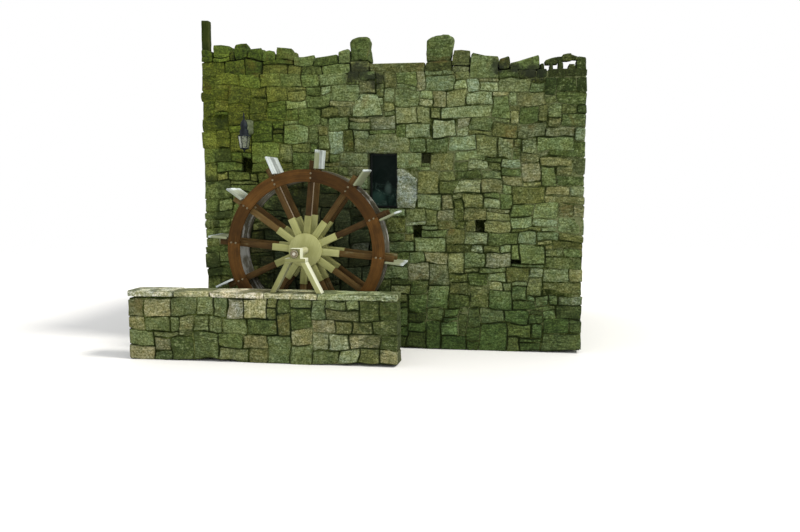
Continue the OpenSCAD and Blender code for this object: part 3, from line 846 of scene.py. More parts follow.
# The stones that anyone would know this wall by: how far right of its middle each begins and
# ends, its heights, its tone and its kind
marked_stones = [
    (1.56, 2.01, 3.69, 3.88, 0.55, 0.50), (0.78, 1.47, 3.31, 3.50, 0.70, 0.36),
    (0.27, 0.60, 3.05, 3.25, 0.64, 0.40), (1.83, 2.22, 3.50, 3.69, 0.45, 0.90),
    (1.86, 2.25, 3.05, 3.25, 0.40, 1.00), (1.50, 1.86, 3.05, 3.25, 0.40, 0.74),
    (1.29, 1.59, 2.79, 3.05, 0.48, 0.58), (0.90, 1.29, 2.86, 3.05, 0.70, 0.10),
    (0.63, 0.99, 2.59, 2.85, 0.46, 0.74), (0.54, 0.96, 3.75, 3.94, 0.55, 0.02),
    (1.32, 1.56, 3.69, 3.81, 0.80, 0.36), (2.13, 2.58, 2.86, 3.05, 0.52, 0.20),
    (0.99, 1.44, 2.72, 2.85, 0.60, 0.30), (1.17, 1.47, 2.59, 2.72, 0.72, 0.42),
    (1.71, 1.86, 3.25, 3.44, 0.70, 0.66), (0.51, 0.78, 2.06, 2.25, 0.60, 0.38),
    (1.08, 1.38, 2.06, 2.25, 0.55, 0.66), (1.37, 1.76, 1.70, 1.91, 0.66, 0.64),
    (0.39, 0.87, 1.41, 1.63, 0.64, 0.34), (0.90, 1.14, 1.13, 1.41, 0.62, 0.60),
    (1.41, 1.80, 1.20, 1.41, 0.62, 0.98), (0.54, 0.90, 1.27, 1.41, 0.66, 0.88),
    (1.11, 1.44, 1.56, 1.70, 0.66, 0.48), (1.08, 1.44, 1.91, 2.06, 0.46, 0.84),
    (0.75, 0.96, 1.77, 1.91, 0.32, 0.84), (0.27, 0.57, 1.84, 1.91, 0.78, 0.45),
    (1.20, 1.38, 1.41, 1.56, 0.78, 0.45), (1.47, 1.74, 1.00, 1.13, 0.74, 0.30),
    (1.89, 2.16, 1.56, 1.70, 0.62, 0.05), (2.10, 2.34, 1.77, 1.91, 0.74, 0.10),
    (-1.50, -1.20, 3.50, 3.63, 0.76, 0.36), (-0.84, -0.45, 3.56, 3.81, 0.58, 0.36),
    (-1.56, -1.20, 2.99, 3.25, 0.72, 0.06), (-0.57, -0.27, 3.18, 3.31, 0.52, 0.42),
    (-0.09, 0.12, 3.56, 3.75, 0.62, 0.40), (-1.32, -1.02, 3.25, 3.50, 0.40, 0.30),
    (-1.80, -1.53, 3.31, 3.56, 0.44, 0.25), (-2.22, -1.89, 3.81, 4.00, 0.55, 0.34),
    (-1.02, -0.63, 3.81, 4.00, 0.54, 0.36), (-0.99, -0.69, 3.38, 3.50, 0.36, 0.78),
    (-0.99, -0.84, 3.69, 3.81, 0.78, 0.10),
]


def of_middle(x0, x1, z0, z1):
    return snapped(front, middle_s + x0, middle_s + x1, z0, z1)


marked = [Stone(front, of_middle(*sides), tone=tone, kind=kind)
          for *sides, tone, kind in marked_stones]

# A pale three-cornered stone, a round-topped one and one with a slanting side stand a little
# proud, and their neighbours run in behind them. Where the parapet begins, one big stone stands
# half in the wall and half above it.
parapet_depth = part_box("front_coping")[1].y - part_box("front_coping")[0].y
cut_stones = [of_middle(-0.54, -0.08, 3.38, 3.50), of_middle(-0.45, -0.20, 3.50, 3.69),
              of_middle(0.63, 0.98, 3.05, 3.31), of_middle(1.05, 1.35, 2.25, 2.46)]
odd_stones = [
    Stone(front, of_middle(-0.54, -0.08, 3.38, 3.70), tone=0.73, kind=0.36, cuts=(0.20, 0.19),
          proud=0.022),
    Stone(front, cut_stones[2], tone=0.76, kind=0.42, cuts=(0.05, 0.04), proud=0.012),
    Stone(front, of_middle(0.92, 1.35, 2.25, 2.46), tone=0.74, kind=0.55, cuts=(0.17, 0.0),
          proud=0.012),
    Stone(front, of_middle(1.19, 1.56, 3.87, 4.19), parapet_depth / 2, tone=0.50, kind=0.34,
          rises=(0.02, -0.03), arch=0.02),
]

through = {"depth": wall_t, "still": True, "joint": 0.004}
sill_sides = snapped(front, window_s[0] - 0.09, window_s[1] + 0.12, window_t[0] - 0.13, window_t[0])
through_stones = [Stone(front, sill_sides, tone=0.62, kind=0.1, **through)]
jamb_courses = [window_t[0], 2.29, 2.50, 2.635, window_t[1]]
for low, high, reach in zip(jamb_courses, jamb_courses[1:], (0.24, 0.15, 0.30, 0.42)):
    left_s, _, low, high = snapped(front, window_s[0] - reach, window_s[0], low, high)
    through_stones.append(Stone(front, (left_s, window_s[0], low, high), tone=0.58, **through))
through_stones.append(Stone(front, (window_s[1], window_s[1] + 0.36, jamb_high.z, window_t[1]),
                            tone=0.62, kind=0.34, **through))

taken = starts_front + ends_front + cut_stones + [odd_stones[-1].sides]
taken += [of_middle(*hole) for hole in pole_holes]
taken += [stone.sides for stone in through_stones]
taken += [(window_s[0], window_s[1], *window_t),
          (jamb_low.x - left_x, jamb_high.x - left_x, jamb_low.z, jamb_high.z),
          (lintel_low.x - left_x, lintel_high.x - left_x, window_t[1], lintel_high.z - 0.07),
          (lintel_low.x - left_x + 0.2, lintel_high.x - left_x - 0.2, window_t[1], lintel_high.z)]
closed_up(marked, taken)
filled = fill(front, taken + [stone.sides for stone in marked], 21)

# The stones at the wall's upper right corner are dark, partly as painted shade, and the stones at
# its upper left, under the trees, are all of middling tone: how far right of the middle and how
# high each such part begins and ends, and the tones of its stones
dark_parts = [(-0.72, 0.05, 3.84, 4.12, 0.14, 0.40), (1.45, 2.05, 3.86, 4.10, 0.0, 0.34),
              (2.05, 2.90, 3.80, 4.10, -0.20, 0.14), (2.15, 2.90, 3.66, 3.80, -0.08, 0.24),
              (2.45, 2.90, 3.30, 3.66, 0.10, 0.42),
              (-2.90, -1.55, 3.05, 4.10, 0.30, 0.56), (-2.90, -2.00, 2.00, 3.05, 0.34, 0.66)]
draw = random.Random(19)
for stone in filled + corner_fr:
    across = (stone.sides[0] + stone.sides[1]) / 2 - middle_s
    upward = (stone.sides[2] + stone.sides[3]) / 2
    for x0, x1, z0, z1, darkest, palest in dark_parts:
        if x0 < across < x1 and z0 < upward < z1:
            stone.tone = draw.uniform(darkest, palest)
front_stones = marked + odd_stones + through_stones + filled

holes = []
for hole in pole_holes:
    left_s, right_s, low, high = of_middle(*hole)
    middle = Vector((left_x + (left_s + right_s) / 2, front_y, (low + high) / 2))
    shift = wandered(middle, building) - middle
    holes.append((Vector((left_x + left_s, front_y, low)) - round_hole + shift,
                  Vector((left_x + right_s + round_hole.x, front_y + pole_hole_depth,
                          high + round_hole.z)) + shift))

# The other three walls are of the same rubble. The back wall has an open doorway, with long stones
# through the wall at its two sides, a worn sill and a lintel.
door_s = (right_x - doorway_high.x, right_x - doorway_low.x)
door_t = (floor_top, door_lintel_low.z)
draw = random.Random(5)
door_stones = [Stone(back, (door_s[0] - 0.06, door_s[1] + 0.06, floor_top - 0.13, floor_top),
                     tone=0.6, **through)]
door_lines = range(nearest_line(door_t[0]), nearest_line(door_t[1]) + 1, 3)
door_courses = [bed_lines[line] for line in door_lines]
if door_courses[-1] < door_t[1]:
    door_courses.append(door_t[1])
for course, (low, high) in enumerate(zip(door_courses, door_courses[1:])):
    for side in (0, 1):
        reach = (0.33, 0.18)[(course + side) % 2] + draw.choice((0, 0.03))
        sides = (door_s[0] - reach, door_s[0]) if side == 0 else (door_s[1], door_s[1] + reach)
        door_stones.append(Stone(back, (*sides, low, high), tone=draw.uniform(0.3, 0.7), **through))
back_taken = starts_back + ends_back + [stone.sides for stone in door_stones]
back_taken += [(door_s[0], door_s[1], *door_t),
               (right_x - door_lintel_high.x, right_x - door_lintel_low.x,
                door_lintel_low.z, door_lintel_high.z)]
back_stones = door_stones + fill(back, back_taken, 22)


def shared_out(stones, opening, sill, *nodes):
    """The stones before, beyond, under and over an opening, by their middles, for four nodes."""
    before, beyond, under, over = shares = [], [], [], []
    for stone in stones:
        middle = (stone.sides[0] + stone.sides[1]) / 2
        if middle < opening[0]:
            before.append(stone)
        elif middle > opening[1]:
            beyond.append(stone)
        elif stone.sides[2] > sill - 0.01:
            over.append(stone)
        else:
            under.append(stone)
    return dict(zip(nodes, shares))


wall_stones = shared_out(front_stones, window_s, window_t[0], "front_wall_left", "front_wall_right",
                         "front_wall_under_window", "front_wall_over_window")
wall_stones |= shared_out(back_stones, door_s, floor_top, "back_wall_right", "back_wall_left",
                          "back_wall_under_door", "back_wall_over_door")
wall_stones["left_wall"] = fill(left, starts_left + ends_left, 23)
wall_stones["right_wall"] = fill(right, starts_right + ends_right, 24)
for node, corner in (("front_wall_left", corner_lf), ("front_wall_right", corner_fr),
                     ("back_wall_left", corner_bl), ("back_wall_right", corner_rb)):
    wall_stones[node] += corner

wall_seeds = {"front_wall_left": 31, "front_wall_right": 32, "front_wall_under_window": 33,
              "front_wall_over_window": 34, "left_wall": 51, "right_wall": 52,
              "back_wall_under_door": 53, "back_wall_right": 54, "back_wall_left": 55,
              "back_wall_over_door": 56}
for node, seed in wall_seeds.items():
    low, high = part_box(node)
    beside_opening = node.endswith(("_left", "_right"))
    low.x += mortar_back * (beside_opening or node == "left_wall")
    high.x -= mortar_back * (beside_opening or node == "right_wall")
    low.y += mortar_back * node.startswith("front")
    high.y -= mortar_back * node.startswith("back")
    high.z -= 0.03 if high.z > 3 else mortar_back
    core = wall_core(low, high, [h for h in holes if node.startswith("front")
                                 and low.x < h[0].x and h[1].x < high.x])
    masonry(node + "_stones", core, wall_stones[node], seed, rubble, node, "rubble")


# The parapet: the same rubble laid dry in two rows, front and back, and left ragged on top. Its
# top follows the solids that it stands for. At the right end of the front it is a loose heap of
# small stones, dark partly as painted shade, with the sky between some of them.
def loose_copy(node):
    """A copy of a CAD node's mesh whose corners are joined, ready to be worked on."""
    mesh = frame["nodes"][node].data.copy()
    mesh.materials.clear()
    made = bpy.data.objects.new("copy", mesh)
    bpy.context.scene.collection.objects.link(made)
    with editing(made):
        bpy.ops.mesh.remove_doubles(threshold=0.00005)
        bpy.ops.mesh.dissolve_limited(angle_limit=math.radians(0.5))
    return made


def separated(made):
    """The loose parts of a mesh, each as an object of its own."""
    with editing(made):
        bpy.ops.mesh.separate(type="LOOSE")
    return list(bpy.context.selected_objects)


def solids_of(node, face):
    """Where each separate solid of a node starts and ends along a face, and how high its left
    shoulder, its middle and its right shoulder are."""
    solids = []
    for part in separated(loose_copy(node)):
        spots = [((v.co - face.corner).dot(face.along), v.co.z) for v in part.data.vertices]
        start, end = min(spots)[0], max(spots)[0]
        share = [((s - start) / (end - start), z) for s, z in spots]
        left_z = max(z for s, z in share if s < 0.3)
        right_z = max(z for s, z in share if s > 0.7)
        middle_z = max((z for s, z in share if 0.3 < s < 0.7), default=(left_z + right_z) / 2)
        solids.append((start, end, left_z, middle_z, right_z))
        bpy.data.objects.remove(part)
    return sorted(solids)


top_stone_h = (0.11, 0.19)
longest_top = 0.34
low_parapet = 0.20
heart_inset = 0.06


def parapet(face, node, seed, kept=(), plain_until=100.0, first_drop=0.0):
    """Two rows of stones along a wall's head, under the skyline of the node's solids, with mortar
    in their heart where they are high. Beyond plain_until only the kept stones stand."""
    draw = random.Random(seed)
    width = face.length / round(face.length / column_w)
    solids = [solid for solid in solids_of(node, face) if solid[0] < plain_until - 0.05]
    if first_drop:
        solids[0] = (*solids[0][:2], *(z - first_drop for z in solids[0][2:]))
    edges = [0.0] + [(one[1] + next_one[0]) / 2 for one, next_one in zip(solids, solids[1:])]
    edges = [round(s / width) * width for s in edges + [min(plain_until, face.length)]]
    stones, hearts = [], []
    for row in (0, 1):
        row_face = Face(face.point(0, 0, row * parapet_depth / 2), face.along, face.length)
        taken = [(plain_until, face.length, head_z, bed_lines[-1])]
        for s0, s1, (start, end, left_z, middle_z, right_z) in zip(edges, edges[1:], solids):
            cut_at = [s0, s1]
            if end - start > longest_top and middle_z - head_z > low_parapet:
                cut_at = [s0, round(draw.uniform(0.4, 0.6) * (s0 + s1) / width) * width, s1]
                cut_at[1] = min(max(cut_at[1], s0 + 0.12), s1 - 0.12)
            for first, last in zip(cut_at, cut_at[1:]):
                knots = (first + 0.15 * (last - first), (first + last) / 2,
                         last - 0.15 * (last - first))
                z_left, z_middle, z_right = np.interp(knots, (start, (start + end) / 2, end),
                                                      (left_z, middle_z, right_z))
                drop = row * draw.uniform(0.01, 0.07)
                top = max((z_left + z_right) / 2 - drop, head_z + 0.05)
                high = draw.uniform(*top_stone_h)
                line = head_line
                while bed_lines[line + 1] <= top - high + 0.02:
                    line += 1
                low = bed_lines[line]
                spare = min(top - low, last - first)
                tilt = max(-0.35 * spare, min(0.35 * spare, (z_right - z_left) / 2))
                tilt += draw.uniform(-0.1, 0.1) * spare
                rounded = spare
                if node == "front_coping":
                    rounded *= 0.0 if top - head_z < low_parapet else 0.35
                hump = max(0.0, min(0.35 * spare, z_middle - (z_left + z_right) / 2))
                stones.append(Stone(
                    row_face, (first, last, low, top), parapet_depth / 2, rises=(-tilt, tilt),
                    arch=hump + draw.uniform(0.02, 0.14) * rounded,
                    cuts=(draw.uniform(0.05, 0.25) * rounded, draw.uniform(0.05, 0.25) * rounded),
                    tone=draw.uniform(0.12, 0.58)))
                taken.append((first, last, low, bed_lines[-1]))
            heart_top = min(left_z, right_z) - 0.08
            if row == 0 and heart_top > head_z + 0.03 and end - start > 0.1:
                ends = [face.point(start + 0.02, 0, heart_inset),
                        face.point(end - 0.02, 0, parapet_depth - heart_inset)]
                low = Vector((min(e.x for e in ends), min(e.y for e in ends), head_z - 0.06))
                high = Vector((max(e.x for e in ends), max(e.y for e in ends), heart_top))
                hearts.append(wall_core(low, high))
        under = fill(row_face, taken, seed + 5 + row, head_line, len(bed_lines) - 1,
                     depth=parapet_depth / 2)
        for stone in under:
            stone.tone = draw.uniform(0.15, 0.62)
        stones += under
    for stone in stones:
        start, end, low, high = stone.sides
        if low == head_z:
            stone.sides = (start, end, low - 0.025, high)
    masonry(node + "_stones", merged(hearts) if hearts else None, stones + list(kept), seed, rubble,
            node, "coping")


def behind(face, start, end):
    """The part of a face between two distances along it, set back to the parapet's own face."""
    return Face(face.point(start, 0, (wall_t - parapet_depth) / 2), face.along, end - start)


# Right of the big stone: a small dark stone, a long one that rises to the right, and then the
# loose heap. For each stone: how far right of the wall's middle it begins and ends, its heights,
# how deep it is, its tone and its kind, and how much its ends rise, by how far in it begins.
heap_from = 1.18
# The heap's low tones are partly painted shade
end_stones = {
    0.0: [
        (1.555, 1.69, 4.00, 4.155, 0.21, 0.08, 0.95, -0.02, 0.02),
        (1.70, 2.125, 3.99, 4.130, 0.21, 0.34, 0.25, -0.045, 0.05),
        (2.13, 2.20, 3.97, 4.065, 0.21, 0.05, 0.60, 0.01, 0.0),
        (2.255, 2.315, 3.97, 4.065, 0.21, 0.10, 0.95, 0.0, 0.0),
        (2.375, 2.455, 3.97, 4.09, 0.21, -0.05, 0.50, 0.01, 0.0),
        (2.505, 2.62, 3.97, 4.045, 0.21, 0.10, 0.90, 0.0, 0.0),
        (2.62, 2.765, 3.97, 4.11, 0.21, 0.0, 0.30, 0.0, 0.0),
        (2.19, 2.37, 4.050, 4.145, 0.14, 0.10, 0.55, -0.035, 0.005),
        (2.34, 2.44, 4.070, 4.14, 0.14, -0.10, 0.98, 0.0, 0.01),
        (2.42, 2.57, 4.090, 4.19, 0.14, 0.14, 0.70, -0.01, 0.0),
        (2.55, 2.66, 4.100, 4.17, 0.14, 0.0, 0.60, 0.01, -0.03),
        (2.63, 2.765, 4.085, 4.15, 0.21, 0.05, 0.40, 0.0, -0.02)],
    0.215: [
        (1.18, 1.45, 3.98, 4.16, 0.21, 0.30, 0.40, 0.0, 0.0),
        (1.45, 1.72, 3.98, 4.10, 0.21, 0.25, 0.55, 0.0, 0.0),
        (1.72, 2.06, 3.98, 4.12, 0.21, 0.35, 0.45, 0.0, 0.0),
        (2.06, 2.17, 3.98, 4.05, 0.21, 0.20, 0.60, 0.0, 0.0),
        (2.66, 2.765, 3.98, 4.12, 0.21, 0.12, 0.50, 0.0, 0.0)],
}
parapet_front = behind(front, 0, front.length)
heap = [Stone(Face(parapet_front.point(0, 0, into), front.along, front.length),
              (middle_s + x0, middle_s + x1, z0, z1), depth, tone, kind, rises=rises, arch=0.01)
        for into, rows in end_stones.items() for x0, x1, z0, z1, depth, tone, kind, *rises in rows]

parapet(parapet_front, "front_coping", 71, heap, middle_s + heap_from)
parapet(behind(back, 0, back.length), "back_coping", 73)
parapet(behind(left, wall_t, left.length - wall_t), "left_coping", 75)
parapet(behind(right, wall_t, right.length - wall_t), "right_coping", 77, first_drop=0.03)

# The big stones: the arched one over the window, the tall pale one at its right, the two set on
# end beside the notch, and the lintel of the doorway. Each was split and roughly dressed.
hump_size = 0.22
chip_size = 0.06
chips = 0.007
dressed_stone = stone_finish("split_granite", moss=0.25)
for name, node, tone, kind, finish, slot, hump in (
        ("arched_stone", "window_lintel", 0.50, 0.25, dressed_stone, "dressed_stone", 0.016),
        ("tall_jamb_stone", "window_jamb_stone", 0.76, 0.0, dressed_stone, "dressed_stone", 0.016),
        ("upright_stone_l", "left_upright_stone", 0.26, 0.30, rubble, "coping", 0.03),
        ("upright_stone_r", "right_upright_stone", 0.36, 0.20, rubble, "coping", 0.03),
        ("doorway_lintel", "door_lintel", 0.6, 0.4, dressed_stone, "dressed_stone", 0.016)):
    made = loose_copy(node)
    made.data.remesh_voxel_size = 0.022
    bpy.ops.object.voxel_remesh()
    with editing(made):
        bpy.ops.mesh.vertices_smooth(factor=0.5, repeat=3)
    for vertex in made.data.vertices:
        place = vertex.co + Vector((tone * 31, tone * 17, 0))
        vertex.co += (noise.noise_vector(place / hump_size) * hump
                      + noise.noise_vector(place / chip_size) * chips)
    for label, value in (("tone", tone), ("kind", kind), ("inner", 1.0)):
        written(made, label, [value] * len(made.data.vertices))
    piece(painted(made, finish, 50), name, node, "root", slot)

# The inner side of the parapet is rubble too, down to the terrace
inner_line = nearest_line(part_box("terrace")[1].z - 0.04)
inner_len_x = right_x - left_x - 2 * wall_t
inner_len_y = back_y - front_y - 2 * wall_t
lining_proud = 0.012
inner_stones = []
for number, (corner, along, length) in enumerate((
        ((right_x - wall_t, front_y + wall_t + lining_proud, 0), (-1, 0, 0), inner_len_x),
        ((left_x + wall_t, back_y - wall_t - lining_proud, 0), (1, 0, 0), inner_len_x),
        ((left_x + wall_t + lining_proud, front_y + wall_t, 0), (0, 1, 0), inner_len_y),
        ((right_x - wall_t - lining_proud, back_y - wall_t, 0), (0, -1, 0), inner_len_y))):
    inner_stones += fill(Face(corner, along, length), [], 81 + number, inner_line, depth=0.05)
masonry("parapet_lining", None, inner_stones, 91, rubble, None, "rubble")


# Stone flags on the ground floor and on the terrace. They are laid in rows on slabs that are
# limewashed underneath.
def mottled(name, scale, stops, roughness, depth, uneven=0.0, metal=0.0, detail=4, coarse=0.55):
    """A finish that goes unevenly between two colours, with a bump where it does."""
    made = Finish(name)
    spots = made.noise(scale, detail=detail, roughness=coarse)
    if uneven:
        roughness += (spots - 0.5) * uneven
    return made.dress(made.ramp(spots, *stops), roughness, spots, depth, metal=metal)


def slabs(face, low, high, depth, lengths, tones, joint, draw):
    """A row of slabs of uneven lengths."""
    stones = []
    s = 0.0
    while s < face.length - 0.01:
        end = s + draw.uniform(*lengths)
        end = face.length if face.length - end < lengths[0] else end
        stones.append(Stone(face, (s, end, low, high), depth, still=True, joint=joint,
                            tone=draw.uniform(*tones)))
        s = end
    return stones


limewash = mottled("limewash", 5, ((0.3, (0.30, 0.30, 0.25)), (0.7, (0.50, 0.49, 0.43))), 0.9, 0.03,
                   detail=5, coarse=0.6)
flag_deep = 0.52
paving = stone_finish("stone_flags", (1.5, 1.36, 1.35), moss=0.10)
for number, node in enumerate(("ground_floor", "terrace")):
    low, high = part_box(node)
    draw = random.Random(95 + number)
    bed = Face((low.x, low.y, high.z), (1, 0, 0), high.x - low.x, up=(0, 1, 0))
    rows = round((high.y - low.y) / flag_deep)
    row_deep = (high.y - low.y) / rows
    flags = []
    for row in range(rows):
        flags += slabs(bed, row * row_deep, (row + 1) * row_deep, 0.05, (0.38, 0.78),
                       (0.35, 0.75), 0.005, draw)
    high.z -= 0.02
    slab = block(low, high)
    slab.data.materials.append(limewash)
    masonry(node + "_paving", slab, flags, 97 + number, paving, node, "paving")

# The low pier wall: mossy rubble with through-stones at its ends, under a coping of thin, worn
# slabs that are broken to different lengths
pier_low, pier_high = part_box("pier_wall")
cap_low, cap_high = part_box("pier_coping")
pier_l = pier_high.x - pier_low.x
pier_t = pier_high.y - pier_low.y
pier_mass = (pier_low.copy(), pier_high.copy())
pier_front = Face((pier_low.x, pier_low.y, 0), (1, 0, 0), pier_l, mass=pier_mass)
pier_back = Face((pier_high.x, pier_high.y, 0), (-1, 0, 0), pier_l, mass=pier_mass)
pier_line = nearest_line(pier_high.z)
pier_stones, pier_taken, pier_taken_back = [], [], []
draw = random.Random(7)
for end in (0, 1):
    line = 0
    while line < pier_line:
        top = line + 3 if pier_line - line - 3 >= 2 else pier_line
        wide = draw.choice((0.24, 0.36, 0.42))
        sides = (0, wide) if end == 0 else (pier_l - wide, pier_l)
        sides = snapped(pier_front, *sides, bed_lines[line], bed_lines[top])
        pier_stones.append(Stone(pier_front, sides, pier_t, tone=draw.uniform(0.2, 0.7)))
        pier_taken.append(sides)
        pier_taken_back.append((pier_l - sides[1], pier_l - sides[0], sides[2], sides[3]))
        line = top
pier_stones += fill(pier_front, pier_taken, 101, 0, pier_line)
pier_stones += fill(pier_back, pier_taken_back, 102, 0, pier_line)
inset = Vector((mortar_back, mortar_back, 0))
core = wall_core(pier_low + inset, pier_high - inset, mass=pier_mass)
masonry("pier_stones", core, pier_stones, 103,
        stone_finish("pier_stone", (0.95, 1.0, 0.85), moss=0.75), "pier_wall", "pier_rubble")
caps = slabs(pier_front, cap_low.z, cap_high.z, pier_t, (0.45, 0.95), (0.5, 0.85), 0.004, draw)
masonry("pier_cap_slabs", None, caps, 105,
        stone_finish("pier_slab", (1.80, 1.80, 2.05), moss=0.30), "pier_coping", "pier_slab")
bpy.data.objects.remove(face_stone)
bpy.data.objects.remove(block_stone)


# The timber post on the left corner is a squared oak baulk, bare, split by the weather and rounded
# on top. Every timber here carries its own grain direction, so that the fibres run along it.
def mark_grain(made, seed, polar=None):
    """Writes on each loose part of a mesh where a point lies along the fibres, across them and
    through the wood, and how dark that part is."""
    draw = random.Random(seed)
    parts = sorted(separated(made), key=lambda part: tuple(
        round(x, 3) for x in part.data.vertices[0].co))
    for part in parts:
        points = np.array([v.co for v in part.data.vertices], float)
        if polar is None:
            middle = (points.max(0) + points.min(0)) / 2
            spread = np.linalg.eigh(np.cov((points - points.mean(0)).T))[1][:, ::-1]
            spread *= np.sign(spread[np.abs(spread).argmax(0), range(3)])
            local = (points - middle) @ spread
        else:
            from_axle = points - np.array(polar)
            angle = np.arctan2(from_axle[:, 2], from_axle[:, 0])
            angle = np.where(angle - angle[0] > math.pi, angle - 2 * math.pi, angle)
            angle = np.where(angle - angle[0] < -math.pi, angle + 2 * math.pi, angle)
            local = np.stack([angle, np.hypot(from_axle[:, 0], from_axle[:, 2]),
                              from_axle[:, 1]], axis=1)
        local = local + np.array([draw.uniform(-9, 9) for _ in range(3)])
        vectors = part.data.attributes.new("grain", "FLOAT_VECTOR", "POINT")
        vectors.data.foreach_set("vector", local.astype(np.float32).ravel())
        written(part, "tone", [draw.random()] * len(points))
    return merged(parts)


def wood_finish(name, dark, mid, pale, worn_colour, worn=0.62, roughness=0.6, gloss=0.25,
                split=0.6, coarse=1.0, painted_sunlight=None, moss_and_shade=None):
    """Timber, bare or painted: three colours along the fibres and a fourth where it is worn. It
    may carry painted sunlight where its piece marks the sun, and painted shade in a mossy green
    where its piece's moss mark says so."""
    wood = Finish(name)
    grain = wood.attribute("grain", "Vector")
    fibre = wood.noise(1.0, detail=4, place=wood.stretched((5, 90 * coarse, 90 * coarse), grain))
    broad = wood.noise(1.0, detail=3, place=wood.stretched((1.6, 14, 14), grain))
    mottle = wood.noise(7, detail=4, roughness=0.6)
    shade = (fibre * 0.45 + broad * 0.45 + (wood.attribute("tone") - 0.5) * 0.30
             + (mottle - 0.5) * 0.35)
    colour = wood.ramp(shade, (0.22, dark), (0.45, mid), (0.70, pale))
    rubbed = wood.between(broad * 0.5 + fibre * 0.28 + mottle * 0.30, worn - 0.04, worn + 0.05)
    colour = wood.mix(rubbed, colour, worn_colour)
    if painted_sunlight:
        colour = wood.mix(wood.between(wood.attribute("painted_sun") + (broad - 0.5) * 0.3, 0.30, 0.62),
                          colour, painted_sunlight)
    if moss_and_shade:
        colour = wood.mix(wood.between(wood.attribute("moss") + (fibre - 0.5) * 0.5, 0.20, 0.75),
                          colour, moss_and_shade)
    return wood.dress(colour, roughness + (mottle - 0.5) * 0.3, fibre * split + broad * 0.5,
                      depth=0.004, gloss=gloss)


def bevelled(made, width, segments=2, degrees=30):
    bpy.context.view_layer.objects.active = made
    rounding = made.modifiers.new("edges", "BEVEL")
    rounding.width = width
    rounding.segments = segments
    rounding.limit_method = "ANGLE"
    rounding.angle_limit = math.radians(degrees)
    bpy.ops.object.modifier_apply(modifier=rounding.name)
    return made


def dressed(name, node, finish, slot, seed, edge=0.004, body="root"):
    """A CAD node's shape with its arrises taken off and its fibres marked."""
    made = mark_grain(bevelled(loose_copy(node), edge), seed)
    return piece(painted(made, finish, 35), name, node, body, slot)


bare_oak = wood_finish("bare_oak", (0.011, 0.015, 0.003), (0.024, 0.035, 0.005),
                       (0.056, 0.066, 0.014), (0.090, 0.085, 0.035), worn=0.70, roughness=0.85,
                       gloss=0.08, split=1.6)
post_wobble = 0.012
post_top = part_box("corner_post")[1].z
post = bevelled(loose_copy("corner_post"), 0.014)
with editing(post):
    bpy.ops.mesh.subdivide(number_cuts=7)
for vertex in post.data.vertices:
    place = Vector((vertex.co.x * 6, vertex.co.y * 6, vertex.co.z * 1.3))
    push = noise.noise_vector(place) * post_wobble + noise.noise_vector(vertex.co * 14) * 0.004
    vertex.co += push if vertex.co.z < post_top - 0.02 else push + Vector((0, 0, -abs(push.x)))
piece(painted(mark_grain(post, 3), bare_oak), "corner_baulk", "corner_post", "root", "post_oak")


# The small window: a dark painted timber frame set back in the wall, with one old pane that has
# a film of dirt and algae over its lower half and two dim reflections painted on it
def refinished(node, finish):
    """Gives a CAD node that keeps its shape a finish of its own."""
    materials = frame["nodes"][node].data.materials
    materials.clear()
    materials.append(finish)


frame_paint = wood_finish("frame_paint", (0.004, 0.007, 0.006), (0.008, 0.012, 0.010),
                          (0.020, 0.026, 0.020), (0.05, 0.05, 0.035), worn=0.72)
dressed("window_bars", "window_frame", frame_paint, "frame_wood", 1, edge=0.005)

pane = Finish("old_pane")
dim = pane.noise(9, detail=5, roughness=0.62, distortion=0.8)
film = pane.between(pane.along("Z") * -1.0 + dim * 0.55, -2.12, -1.92)
clear_dark = pane.ramp(dim, (0.3, (0.003, 0.008, 0.006)), (0.7, (0.008, 0.015, 0.012)))
cloudy = pane.ramp(dim, (0.40, (0.006, 0.016, 0.013)), (0.55, (0.026, 0.056, 0.044)),
                   (0.66, (0.090, 0.140, 0.115)))
pane_colour = pane.mix(film, clear_dark, cloudy)
# Two painted reflections: how far right of the middle, how high, how wide, how tall, and colour
for right_of_middle, height, wide, high, painted_reflection in (
        (-0.185, 2.21, 0.13, 0.11, (0.036, 0.082, 0.066)),
        (-0.025, 2.34, 0.06, 0.10, (0.066, 0.104, 0.090))):
    spread = pane.node("ShaderNodeMapping", {
        "Vector": pane.place, "Scale": (1 / wide, 0, 1 / high),
        "Location": (-(middle_x + right_of_middle) / wide, 0, -height / high)})
    near_it = pane.between(pane.away(spread) + (dim - 0.5) * 1.6, 1.1, 0.4)
    pane_colour = pane.mix(near_it * 0.8, pane_colour, painted_reflection)
refinished("window_glass", pane.dress(pane_colour, 0.22 + film * 0.4, gloss=0.04))

# The wall lantern: black painted sheet metal, with six panes of seeded glass between thin bars,
# on a wall plate that mould has turned as green as the wall
black = Finish("lantern_black")
sooty = black.noise(14, detail=3)
black_colour = black.ramp(sooty, (0.35, (0.005, 0.007, 0.009)), (0.70, (0.020, 0.027, 0.034)))
lantern_black = black.dress(black_colour, 0.5 + (sooty - 0.5) * 0.4, black.noise(60, detail=4),
                            depth=0.001, gloss=0.14)
mouldy = mottled("mouldy_paint", 26, ((0.35, (0.065, 0.085, 0.030)), (0.70, (0.160, 0.190, 0.100))),
                 0.8, 0.002)
for name, node, finish in (("lantern_cap", "lantern_roof", lantern_black),
                           ("lantern_base", "lantern_foot", lantern_black),
                           ("lantern_arm", "lantern_bracket", mouldy)):
    made = bevelled(loose_copy(node), 0.0012, degrees=40)
    piece(painted(made, finish), name, node, "root", "lantern_metal")

glass_low, glass_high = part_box("lantern_glass")
glass_middle = (glass_low + glass_high) / 2
seeded = Finish("seeded_glass")
bubbles = seeded.noise(45, detail=3)
